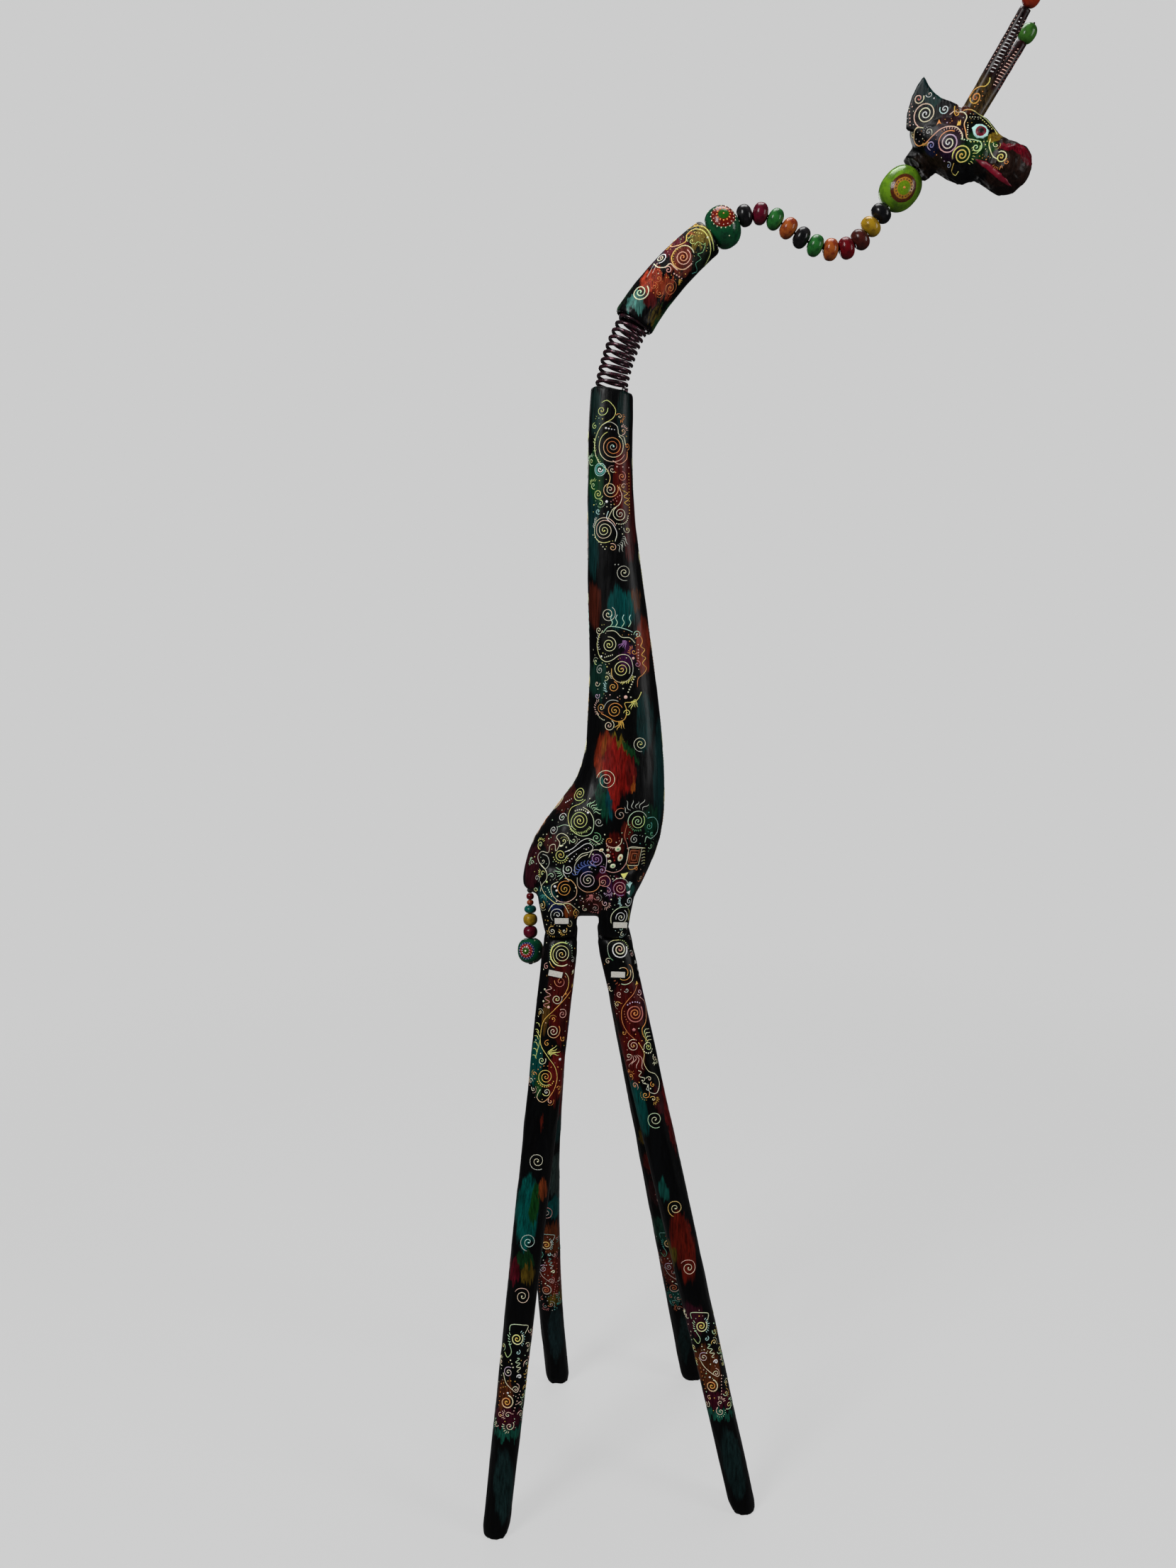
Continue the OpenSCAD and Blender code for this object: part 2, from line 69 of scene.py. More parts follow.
camera = bpy.data.cameras.new("camera")
camera.sensor_width = SENSOR
camera.lens = SENSOR / 2 / math.tan(math.radians(CAMERA_FOV / 2))
camera_object = bpy.data.objects.new("camera", camera)
camera_object.location = CAMERA_AT
camera_object.rotation_euler = (math.radians(90 - CAMERA_PITCH), 0, 0)
bpy.context.scene.collection.objects.link(camera_object)
bpy.context.scene.camera = camera_object
bpy.context.scene.view_settings.view_transform = "Standard"

# ---- Colours, linear ----

COLOURS = {
    "cream": (0.84, 0.76, 0.50),
    "white": (0.95, 0.95, 0.88),
    "yellow": (0.82, 0.72, 0.20),
    "gold": (0.74, 0.45, 0.08),
    "orange": (0.74, 0.27, 0.06),
    "rust": (0.42, 0.11, 0.04),
    "pink": (0.80, 0.46, 0.38),
    "rose": (0.50, 0.17, 0.16),
    "red": (0.46, 0.018, 0.014),
    "crimson": (0.20, 0.005, 0.018),
    "wine": (0.12, 0.004, 0.014),
    "lime": (0.55, 0.70, 0.24),
    "mint": (0.48, 0.74, 0.46),
    "green": (0.13, 0.40, 0.17),
    "aqua": (0.46, 0.78, 0.70),
    "teal": (0.07, 0.34, 0.30),
    "blue": (0.10, 0.16, 0.46),
    "purple": (0.28, 0.13, 0.33),
    "lilac": (0.54, 0.40, 0.56),
    "grey": (0.46, 0.48, 0.42),
    "black": (0.006, 0.006, 0.006),
}

# ---- Materials ----


class Nodes:
    """A short way to write a material's node tree round one Principled shader."""

    def __init__(self, name):
        self.material = bpy.data.materials.new(name)
        self.material.use_nodes = True
        self.tree = self.material.node_tree
        self.tree.nodes.clear()
        self.shader = self.add("ShaderNodeBsdfPrincipled")
        out = self.add("ShaderNodeOutputMaterial")
        self.link(self.shader.outputs["BSDF"], out.inputs["Surface"])

    def add(self, kind, **settings):
        node = self.tree.nodes.new(kind)
        for key, value in settings.items():
            setattr(node, key, value)
        return node

    def link(self, a, b):
        self.tree.links.new(a, b)

    def put(self, value, socket):
        """Links an output, or sets a number, colour or vector."""
        if isinstance(value, bpy.types.NodeSocket):
            self.link(value, socket)
        elif isinstance(value, (tuple, list)) and len(value) == 3 and socket.type == "RGBA":
            socket.default_value = (*value, 1)
        else:
            socket.default_value = value

    def math(self, operation, a, b=0.0):
        node = self.add("ShaderNodeMath", operation=operation)
        self.put(a, node.inputs[0])
        self.put(b, node.inputs[1])
        return node.outputs[0]

    def vector(self, operation, a, b=(0, 0, 0)):
        node = self.add("ShaderNodeVectorMath", operation=operation)
        self.put(a, node.inputs[0])
        if operation == "SCALE":
            self.put(b, node.inputs["Scale"])
        else:
            self.put(b, node.inputs[1])
        return node.outputs["Value" if operation in ("LENGTH", "DOT_PRODUCT") else "Vector"]

    def mix(self, factor, a, b, blend="MIX"):
        node = self.add("ShaderNodeMix", data_type="RGBA", blend_type=blend)
        self.put(factor, node.inputs[0])
        self.put(a, node.inputs[6])
        self.put(b, node.inputs[7])
        return node.outputs[2]

    def ramp(self, value, low, high, out_low=0.0, out_high=1.0, smooth=False):
        node = self.add("ShaderNodeMapRange", clamp=True)
        node.interpolation_type = "SMOOTHSTEP" if smooth else "LINEAR"
        for index, number in enumerate((value, low, high, out_low, out_high)):
            self.put(number, node.inputs[index])
        return node.outputs[0]

    def noise(self, place, scale, detail=3.0, roughness=0.55, colour=False):
        node = self.add("ShaderNodeTexNoise")
        self.put(place, node.inputs["Vector"])
        node.inputs["Scale"].default_value = scale
        node.inputs["Detail"].default_value = detail
        node.inputs["Roughness"].default_value = roughness
        return node.outputs["Color" if colour else "Fac"]

    def place(self, location=(0, 0, 0), turn=(0, 0, 0)):
        """Object coordinates, moved to a local frame and turned into it."""
        moved = self.vector("SUBTRACT", self.add("ShaderNodeTexCoord").outputs["Object"], location)
        node = self.add("ShaderNodeMapping", vector_type="POINT")
        self.link(moved, node.inputs["Vector"])
        node.inputs["Rotation"].default_value = turn
        return node.outputs["Vector"]

    def surface(self, colour, roughness, height=None, distance=0.0003, strength=0.6, **constants):
        """Fills in the shader, with height as a bump map, and gives back the material."""
        self.put(colour, self.shader.inputs["Base Color"])
        self.put(roughness, self.shader.inputs["Roughness"])
        for name, value in constants.items():
            self.shader.inputs[name.replace("_", " ")].default_value = value
        if height is not None:
            bump = self.add("ShaderNodeBump")
            bump.inputs["Strength"].default_value = strength
            bump.inputs["Distance"].default_value = distance
            self.link(height, bump.inputs["Height"])
            self.link(bump.outputs["Normal"], self.shader.inputs["Normal"])
        return self.material


BASE_BLACK = (0.0011, 0.0011, 0.0013)
WORN_BLACK = (0.0028, 0.0032, 0.0038)
GRAIN_STRETCH = 0.07
ONE_SIDE_MM = 34
BOTH_SIDES_MM = 400


def painted_wood(name, patches, origin=(0, 0, 0), turn=(0, 0, 0), ragged_mm=(11, 11, 46)):
    """Black varnished wood with brushed patches of colour.
    A patch is x, z, half width, half height, tilt in degrees, colour and side: -1 right, 1 left, 0 both.
    Patch places are millimetres in the local frame, whose z runs along the grain.
    A patch of one side is centred ONE_SIDE_MM out and reaches as far in."""
    n = Nodes(name)
    millimetres = n.vector("SCALE", n.place(origin, turn), 1 / MM)
    stretched = n.vector("MULTIPLY", millimetres, (1, 1, GRAIN_STRETCH))
    bristles = n.noise(stretched, 0.55, 4, 0.65)
    broad = n.noise(stretched, 0.11, 3, 0.6)
    ragged = n.noise(stretched, 0.22, 4, 0.62, colour=True)
    shift = n.vector("MULTIPLY", n.vector("SUBTRACT", ragged, (0.5, 0.5, 0.5)), ragged_mm)
    brushed = n.vector("ADD", millimetres, shift)
    streak = n.ramp(bristles, 0.32, 0.74, 0.22, 1.45)
    shade = n.math("MULTIPLY", streak, n.ramp(broad, 0.3, 0.7, 0.5, 1.15))
    colour = n.mix(n.ramp(broad, 0.42, 0.75), BASE_BLACK, WORN_BLACK)
    for x, z, rx, rz, tilt, rgb, side in patches:
        reach = ONE_SIDE_MM if side else BOTH_SIDES_MM
        away = n.vector("SUBTRACT", brushed, (x, side * ONE_SIDE_MM, z))
        if tilt:
            rotate = n.add("ShaderNodeVectorRotate", rotation_type="Y_AXIS")
            n.put(away, rotate.inputs["Vector"])
            rotate.inputs["Angle"].default_value = math.radians(-tilt)
            away = rotate.outputs[0]
        distance = n.vector("LENGTH", n.vector("MULTIPLY", away, (1 / rx, 1 / reach, 1 / rz)))
        cover = n.ramp(distance, 1.08, 0.84, smooth=True)
        tone = n.mix(1.0, rgb, shade, "MULTIPLY")
        colour = n.mix(cover, colour, tone)
    pores = n.noise(n.vector("MULTIPLY", millimetres, (1, 1, 0.12)), 1.6, 3, 0.6)
    height = n.math("ADD", bristles, n.math("MULTIPLY", pores, 0.5))
    height = n.math("ADD", height, n.math("MULTIPLY", broad, 3.0))
    roughness = n.ramp(n.math("ADD", bristles, n.math("MULTIPLY", pores, 0.6)), 0.45, 1.1, 0.24, 0.46)
    return n.surface(
        colour, roughness, height, distance=0.0005, strength=0.55,
        Specular_IOR_Level=0.11, Coat_Weight=0.06, Coat_Roughness=0.14,
    )


def lacquer(name, colour, second, origin):
    """Glossy dyed bead: two tones in soft blotches over faint grain."""
    n = Nodes(name)
    local = n.vector("SCALE", n.place(origin), 1 / MM)
    blotches = n.noise(local, 0.11, 3, 0.6)
    grain = n.noise(n.vector("MULTIPLY", local, (1, 1, 0.2)), 0.9, 4, 0.6)
    tone = n.mix(n.ramp(blotches, 0.38, 0.66, smooth=True), colour, second)
    tone = n.mix(n.ramp(grain, 0.52, 0.75, 0.0, 0.35), tone, tuple(0.35 * c for c in colour))
    height = n.math("ADD", blotches, n.math("MULTIPLY", grain, 0.15))
    return n.surface(
        tone, n.ramp(grain, 0.3, 0.7, 0.2, 0.34), height, distance=0.0008, strength=0.5,
        Coat_Weight=0.25, Coat_Roughness=0.05, Specular_IOR_Level=0.14,
    )


def metal(name, colour, tint, rough):
    """Dark steel wire with tinted flecks."""
    n = Nodes(name)
    local = n.vector("SCALE", n.place(), 1 / MM)
    drops = n.noise(local, 0.35, 4, 0.65)
    tone = n.mix(n.ramp(drops, 0.45, 0.7, smooth=True), colour, tint)
    return n.surface(
        tone, n.ramp(drops, 0.3, 0.8, rough, rough + 0.22), drops, distance=0.0004, strength=0.6,
        Metallic=0.55, Coat_Weight=0.4, Coat_Roughness=0.08,
    )


PAINT_GAIN, PAINT_BRIGHTEST = 1.3, 0.96
DIRT = (0.05, 0.04, 0.03)


def raised_paint(name):
    """Thin lines of enamel whose colour is held point by point in the mesh."""
    n = Nodes(name)
    own = n.add("ShaderNodeVertexColor", layer_name="paint").outputs["Color"]
    own = n.vector("MINIMUM", n.vector("SCALE", own, PAINT_GAIN), (PAINT_BRIGHTEST,) * 3)
    local = n.vector("SCALE", n.place(), 1 / MM)
    wear = n.noise(local, 0.5, 4, 0.7)
    tone = n.mix(n.ramp(wear, 0.56, 0.78, 0.0, 0.3), own, DIRT)
    fine = n.noise(local, 2.4, 2, 0.5)
    return n.surface(
        tone, n.ramp(fine, 0.3, 0.7, 0.3, 0.5), fine, distance=0.0002, strength=0.4,
        Coat_Weight=0.1, Coat_Roughness=0.15, Specular_IOR_Level=0.3,
    )


def bare_wood(name):
    """Plain, dull wood with grain along z."""
    n = Nodes(name)
    local = n.vector("SCALE", n.place(), 1 / MM)
    grain = n.noise(n.vector("MULTIPLY", local, (1, 1, 0.05)), 0.8, 4, 0.6)
    tone = n.mix(n.ramp(grain, 0.35, 0.7), (0.30, 0.17, 0.08), (0.13, 0.065, 0.03))
    return n.surface(tone, n.ramp(grain, 0.3, 0.7, 0.55, 0.75), grain, distance=0.0004, strength=0.6)


def label_paper(name):
    """Off-white paper, a little stained."""
    n = Nodes(name)
    local = n.vector("SCALE", n.place(), 1 / MM)
    pulp = n.noise(local, 0.7, 4, 0.7)
    tone = n.mix(n.ramp(pulp, 0.4, 0.7), (0.78, 0.76, 0.70), (0.62, 0.58, 0.51))
    return n.surface(tone, n.ramp(pulp, 0.3, 0.7, 0.5, 0.68), pulp, distance=0.0002, strength=0.4)


# ---- Mesh helpers ----


def smoothed_rows(rows, steps):
    """Catmull-Rom rows between the given ones."""
    rows = [np.array(r, float) for r in rows]
    out = []
    for i in range(len(rows) - 1):
        a, b = rows[max(i - 1, 0)], rows[i]
        c, d = rows[i + 1], rows[min(i + 2, len(rows) - 1)]
        for k in range(steps):
            t = k / steps
            out.append(
                0.5 * (2 * b + (c - a) * t + (2 * a - 5 * b + 4 * c - d) * t ** 2
                       + (3 * b - a - 3 * c + d) * t ** 3)
            )
    out.append(rows[-1])
    return out


def new_object(name, verts, faces, smooth=True):
    """A new mesh object in the scene."""
    mesh = bpy.data.meshes.new(name)
    mesh.from_pydata([tuple(v) for v in verts], [], faces)
    mesh.validate()
    mesh.update()
    for polygon in mesh.polygons:
        polygon.use_smooth = smooth
    obj = bpy.data.objects.new(name, mesh)
    bpy.context.scene.collection.objects.link(obj)
    return obj


def skin(rings):
    """Vertices and faces of closed rings with capped ends."""
    count = len(rings[0])
    verts = [p for ring in rings for p in ring]
    faces = []
    for r in range(len(rings) - 1):
        for i in range(count):
            j = (i + 1) % count
            faces.append((r * count + i, r * count + j, (r + 1) * count + j, (r + 1) * count + i))
    faces.append(tuple(range(count))[::-1])
    last = (len(rings) - 1) * count
    faces.append(tuple(range(last, last + count)))
    return verts, faces


def basis(direction):
    """Two unit vectors square to a direction."""
    d = Vector(direction).normalized()
    side = d.cross(Z_AXIS if abs(d.z) < 0.9 else X_AXIS).normalized()
    return side, side.cross(d).normalized()


def circle(count):
    """Cosine and sine of evenly spaced angles round a circle."""
    return [(math.cos(2 * math.pi * k / count), math.sin(2 * math.pi * k / count)) for k in range(count)]


def rod(start, end, radii, sides):
    """Rings of a round bar from start to end; radii are share along and radius."""
    start, end = Vector(start), Vector(end)
    a, b = basis(end - start)
    return [
        [start.lerp(end, share) + (a * p + b * q) * r for p, q in circle(sides)]
        for share, r in radii
    ]


def baked(obj):
    """Applies the object's modifiers."""
    graph = bpy.context.evaluated_depsgraph_get()
    mesh = bpy.data.meshes.new_from_object(obj.evaluated_get(graph))
    obj.modifiers.clear()
    obj.data = mesh
    return obj


def outward(obj):
    """Turns the faces of a closed mesh to look outwards."""
    edit = bmesh.new()
    edit.from_mesh(obj.data)
    bmesh.ops.recalc_face_normals(edit, faces=edit.faces)
    edit.to_mesh(obj.data)
    edit.free()
    return obj


def from_cad(name, node, voxel_mm, rounds, plugs=()):
    """A closed, evenly meshed copy of a CAD node, with bars filled in."""
    edit = bmesh.new()
    edit.from_mesh(NODES[node].data)
    bmesh.ops.remove_doubles(edit, verts=edit.verts, dist=1e-6)
    for rings in plugs:
        verts, faces = skin(rings)
        made = [edit.verts.new(v) for v in verts]
        for face in faces:
            edit.faces.new([made[i] for i in face])
    mesh = bpy.data.meshes.new(name)
    edit.to_mesh(mesh)
    edit.free()
    obj = bpy.data.objects.new(name, mesh)
    bpy.context.scene.collection.objects.link(obj)
    remesh = obj.modifiers.new("remesh", "REMESH")
    remesh.mode = "VOXEL"
    remesh.voxel_size = voxel_mm * MM
    soften = obj.modifiers.new("soften", "SMOOTH")
    soften.factor = 0.5
    soften.iterations = rounds
    baked(obj)
    for polygon in obj.data.polygons:
        polygon.use_smooth = True
    return obj


def chipped(obj, cell_mm, depth_mm, seed, along=(0, 0, 1), where=None):
    """Cuts flat tool marks into the surface: cells cell_mm = (across, along) wide, with soft ridges between.
    Where gives a share of the depth for a point in millimetres."""
    across, length = cell_mm
    axis = Vector(along).normalized()
    offset = Vector((seed * 3.7, seed * 1.3, seed * 2.1))
    moves = []
    for v in obj.data.vertices:
        p = v.co / MM
        run = p.dot(axis)
        q = (p - axis * run) / across + axis * (run / length) + offset
        near, _ = noise.voronoi(q)
        edge = min(1.0, (near[1] - near[0]) * 2.4)
        amount = depth_mm * (where(v.co / MM) if where else 1.0)
        moves.append(-amount * edge * edge * (3 - 2 * edge) * MM)
    normals = [v.normal.copy() for v in obj.data.vertices]
    for v, normal, move in zip(obj.data.vertices, normals, moves):
        v.co += normal * move
    obj.data.update()
    return obj


def give(obj, material, body, slot, *nodes):
    """Gives a piece its material and body, and hides the CAD nodes it stands for. Slot is not used."""
    obj.data.materials.clear()
    obj.data.materials.append(material)
    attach(obj, body)
    if nodes:
        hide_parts(*nodes)
    return obj


# ---- Raised paint ----

LINE_HALF_MM, LINE_HEIGHT_MM, SINK_MM = 0.45, 0.42, 0.25
LINE_SECTION = ((-1, -0.3), (-0.62, 0.72), (0, 1), (0.62, 0.72), (1, -0.3))
DOT_HEIGHT_MM, DOT_SIDES = 0.5, 8
DOT_RINGS = ((1.0, -0.35), (0.8, 0.5), (0.42, 0.92))
STEP_MM = 1.5
THROW_M = 0.6
MOST_CLAIMS = 30000
LINE_CLAIM_MM = 0.8
LEAST_GAP_MM, CURL_GAP_MM = 1.8, 4.2
CURL_PITCH_MM = 5.3
RIGHT_SIDE = (Vector((0, 0, 0)), X_AXIS, Z_AXIS, Y_AXIS)
LEFT_SIDE = (Vector((0, 0, 0)), X_AXIS, Z_AXIS, -Y_AXIS)
FRONT_SIDE = (Vector((0, 0, 0)), Y_AXIS, Z_AXIS, -X_AXIS)
BACK_SIDE = (Vector((0, 0, 0)), Y_AXIS, Z_AXIS, X_AXIS)
LABEL_BOXES = [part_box(f"label_{place}") for place in ("hind_stub", "front_stub", "hind_leg", "front_leg")]
LABEL_MARGIN = (0.0012, 0.004, 0.0012)


class Canvas:
    """Lines, dots and shapes of raised paint laid on one piece.
    A side is origin, across, up and look: a mark at (a, b) is thrown onto the piece along look.
    Colours are one name, or several that a line runs through from its start to its end."""

    def __init__(self, obj):
        mesh = obj.data
        self.tree = BVHTree.FromPolygons(
            [v.co.copy() for v in mesh.vertices], [tuple(p.vertices) for p in mesh.polygons]
        )
        self.verts, self.faces, self.colours = [], [], []
        self.warp = None
        self.claims = np.zeros((MOST_CLAIMS, 3))
        self.face(RIGHT_SIDE)

    def face(self, side, swap=()):
        """Turns to a side, with nothing on it yet. Swap is a table of colour names to use for others."""
        self.side = side
        self.swap = dict(swap)
        self.claimed = 0

    def claim(self, a, b, reach):
        """Remembers that a round patch of the side is painted."""
        if self.claimed < MOST_CLAIMS:
            self.claims[self.claimed] = (a, b, reach)
            self.claimed += 1

    def throw(self, a, b):
        """Where a mark of the current side meets the piece, the normal there, and the mark's own place."""
        origin, across, up, look = self.side
        if self.warp:
            a, b = self.warp(a, b)
        place = origin + (across * a + up * b) * MM
        hit, normal, _, _ = self.tree.ray_cast(place - look * THROW_M, look)
        return hit, normal, place

    def spot(self, a, b):
        """Surface point and normal under a mark, or the nearest ones if it misses the piece."""
        hit, normal, place = self.throw(a, b)
        if hit is None:
            return self.near(place - self.side[3] * 0.04)
        return hit, normal

    def frame_at(self, a, b):
        """Surface point under a mark, with the directions across and up along the surface."""
        _, across, up, _ = self.side
        hit, normal = self.spot(a, b)
        rise = (up - normal * up.dot(normal)).normalized()
        run = (across - normal * across.dot(normal) - rise * across.dot(rise)).normalized()
        return hit, run, rise

    def near(self, point):
        """Surface point and normal nearest to a point."""
        hit, normal, _, _ = self.tree.find_nearest(point)
        return hit, normal

    def local(self, a, b, points):
        """Lays flat points round the spot at (a, b), wrapped on the surface."""
        for p in points[::2]:
            self.claim(a + p[0], b + p[1], LINE_CLAIM_MM)
        hit, run, rise = self.frame_at(a, b)
        return [self.near(hit + (run * p[0] + rise * p[1]) * MM) for p in points]

    def tint(self, colour, t):
        """Colour at a share t along one or more names."""
        values = [np.array(COLOURS[self.swap.get(name, name)]) for name in colour.split()]
        if len(values) == 1:
            return values[0]
        k = min(t, 0.9999) * (len(values) - 1)
        i = int(k)
        return values[i] * (1 - (k - i)) + values[i + 1] * (k - i)

    def covered(self, point):
        """Whether a paper label hides a surface point."""
        return any(
            all(low[i] - m < point[i] < high[i] + m for i, m in enumerate(LABEL_MARGIN))
            for low, high in LABEL_BOXES
        )

    def line(self, places, colour, half=None, height=None, taper=0.0):
        """A raised line through surface places, broken at the labels and thinner at its ends by taper."""
        hidden = [self.covered(p) for p, _ in places]
        if any(hidden):
            run = []
            for place, skip in zip(places + [None], hidden + [True]):
                if skip:
                    self.line(run, colour, half, height, taper)
                    run = []
                else:
                    run.append(place)
            return
        if len(places) < 2:
            return
        half = (half or LINE_HALF_MM) * MM
        height = (height or LINE_HEIGHT_MM) * MM
        points = [p for p, _ in places]
        normals = [n for _, n in places]
        last = len(points) - 1
        count = len(LINE_SECTION) + 1
        base = len(self.verts)
        for i, point in enumerate(points):
            t = i / last
            ahead, behind = points[min(i + 1, last)], points[max(i - 1, 0)]
            direction = ahead - behind
            if direction.length < 1e-9:
                direction = Vector((1e-6, 0, 0))
            normal = (normals[max(i - 1, 0)] + normals[i] * 2 + normals[min(i + 1, last)]).normalized()
            side = normal.cross(direction).normalized()
            ends = min(1.0, 4 * t, 4 * (1 - t))
            w = half * (1 - taper * (1 - ends))
            h = height * (1 - 0.5 * taper * (1 - ends))
            for across, up in LINE_SECTION:
                self.verts.append(point + side * w * across + normal * (h * up))
            self.verts.append(point - normal * (SINK_MM * MM))
            self.colours += [self.tint(colour, t)] * count
        for i in range(last):
            for k in range(count):
                m = (k + 1) % count
                a, b = base + i * count, base + (i + 1) * count
                self.faces.append((a + k, a + m, b + m, b + k))
        self.faces.append(tuple(base + k for k in range(count))[::-1])
        self.faces.append(tuple(base + last * count + k for k in range(count)))

    def path(self, points, colour, **settings):
        """A smooth line through marks (a, b)."""
        fine = smoothed_rows(points, 5)
        flat = [fine[0]]
        for p in fine[1:]:
            if np.linalg.norm(p - flat[-1]) > 0.9:
                flat.append(p)
        for p in flat:
            self.claim(p[0], p[1], LINE_CLAIM_MM)
        self.line([self.spot(p[0], p[1]) for p in flat], colour, **settings)

    def curl(self, a, b, r, turns, start, spin, colour, flare=0.0, **settings):
        """A spiral whose outer end lies at the start angle; spin is 1 or -1, and flare opens its last part.
        A small one gets fewer turns, so that they stay apart."""
        turns = min(turns, 0.5 + r / CURL_PITCH_MM)
        self.claim(a, b, r)
        length = math.pi * r * turns
        count = max(14, int(length / STEP_MM))
        points = []
        for k in range(count + 1):
            t = k / count
            angle = math.radians(start) - spin * 2 * math.pi * turns * (1 - t)
            radius = r * (0.07 + 0.93 * t ** 1.05)
            radius *= 1 + flare * max(0.0, (t - 0.8) / 0.2) ** 1.5
            points.append((radius * math.cos(angle), radius * math.sin(angle)))
        self.line(self.local(a, b, points), colour, **settings)
        if r > 5:
            self.dot(a, b, 0.06 * r + 0.3, colour, points[0])

    def arc(self, a, b, r, first, last, colour, **settings):
        """Part of a circle, between two angles in degrees."""
        span = math.radians(last - first)
        count = max(8, int(abs(span) * r / STEP_MM))
        points = [
            (r * math.cos(math.radians(first) + span * k / count),
             r * math.sin(math.radians(first) + span * k / count))
            for k in range(count + 1)
        ]
        self.line(self.local(a, b, points), colour, **settings)

    def fringe(self, a, b, r, first, last, count, length, colour, wave=0.16, lean=0.0, **settings):
        """Wavy hairs standing out from an arc."""
        for k in range(count):
            angle = math.radians(first + (last - first) * k / max(1, count - 1))
            out = Vector((math.cos(angle), math.sin(angle)))
            side = Vector((-out.y, out.x))
            reach = length * (0.8 + 0.2 * math.sin(k * 2.1))
            steps = max(4, int(reach / 1.3))
            points = []
            for m in range(steps + 1):
                t = m / steps
                sway = wave * length * math.sin(t * 5.2) + lean * length * t * t
                points.append(out * (r + reach * t) + side * sway)
            self.line(self.local(a, b, points), colour, taper=0.6, **settings)

    def dot(self, a, b, size, colour="cream", offset=(0, 0), height=None):
        """A small dome of paint."""
        self.claim(a + offset[0], b + offset[1], size)
        place, normal = self.local(a, b, [offset])[0]
        if self.covered(place):
            return
        run, rise = basis(normal)
        size = size * MM
        height = (height or DOT_HEIGHT_MM) * MM
        base = len(self.verts)
        for share, up in DOT_RINGS:
            for p, q in circle(DOT_SIDES):
                self.verts.append(place + (run * p + rise * q) * size * share + normal * height * up)
        self.verts.append(place + normal * height)
        self.verts.append(place - normal * height * 0.6)
        self.colours += [self.tint(colour, 0.0)] * (DOT_SIDES * len(DOT_RINGS) + 2)
        self.dome(base, DOT_SIDES, len(DOT_RINGS))

    def dome(self, base, count, rings):
        """Faces of stacked rings of points from base on, closed by a top point and a point underneath."""
        for ring in range(rings - 1):
            for k in range(count):
                m = (k + 1) % count
                low, high = base + ring * count, base + (ring + 1) * count
                self.faces.append((low + k, low + m, high + m, high + k))
        top, peak = base + (rings - 1) * count, base + rings * count
        for k in range(count):
            m = (k + 1) % count
            self.faces.append((top + k, top + m, peak))
            self.faces.append((base + m, base + k, peak + 1))

    def dots(self, a, b, r, first, last, count, size, colour):
        """Dots along an arc."""
        for k in range(count):
            t = k / max(1, count - 1)
            angle = math.radians(first + (last - first) * t)
            self.dot(a, b, size, colour, (r * math.cos(angle), r * math.sin(angle)))

    def row(self, start, end, count, size, colour, shrink=0.0):
        """Dots along a straight row of marks."""
        for k in range(count):
            t = k / max(1, count - 1)
            a, b = start[0] + (end[0] - start[0]) * t, start[1] + (end[1] - start[1]) * t
            self.dot(a, b, size * (1 - shrink * t), colour)

    def shape(self, a, b, outline, colour, height=0.45, rings=3):
        """A filled patch of paint, slightly domed, from a flat outline round (a, b)."""
        count = len(outline)
        self.claim(a, b, max(math.hypot(*p) for p in outline))
        hit, run, rise = self.frame_at(a, b)
        base = len(self.verts)
        for ring in range(rings + 1):
            share = 1 - ring / (rings + 1)
            up = -0.2 if ring == 0 else height * (0.7 + 0.3 * ring / rings)
            for p in outline:
                place, normal = self.near(hit + (run * p[0] + rise * p[1]) * share * MM)
                self.verts.append(place + normal * up * MM)
        place, normal = self.near(hit)
        self.verts.append(place + normal * height * MM)
        self.verts.append(place - normal * height * MM)
        self.colours += [self.tint(colour, 0.0)] * (count * (rings + 1) + 2)
        self.dome(base, count, rings + 1)

    def blob(self, a, b, rx, ry, tilt, colour, centre=None):
        """A filled oval, with a smaller one on it."""
        c, s = math.cos(math.radians(tilt)), math.sin(math.radians(tilt))

        def oval(size):
            return [
                (size * (rx * p * c - ry * q * s), size * (rx * p * s + ry * q * c)) for p, q in circle(16)
            ]

        self.shape(a, b, oval(1), colour)
        if centre:
            self.shape(a, b, oval(0.42), centre, height=0.75)

    def square(self, a, b, half_x, half_z, tilt, colour):
        """A tilted rectangle drawn as a line."""
        c, s = math.cos(math.radians(tilt)), math.sin(math.radians(tilt))
        corners = [(p * half_x, q * half_z) for p, q in ((-1, -1), (-1, 1), (1, 1), (1, -1), (-1, -1))]
        points = []
        for p, q in zip(corners, corners[1:]):
            for m in range(6):
                t = m / 6
                x, z = p[0] + (q[0] - p[0]) * t, p[1] + (q[1] - p[1]) * t
                points.append((x * c - z * s, x * s + z * c))
        self.line(self.local(a, b, points), colour)

    def serpent(self, start, end, swing, loops, colour, **settings):
        """A snaking line between two marks."""
        s, e = Vector(start), Vector(end)
        run = e - s
        side = Vector((-run.y, run.x)).normalized()
        count = loops * 6
        points = [
            s + run * (k / count) + side * swing * math.sin(2 * math.pi * loops * k / count)
            for k in range(count + 1)
        ]
        self.path([tuple(p) for p in points], colour, **settings)

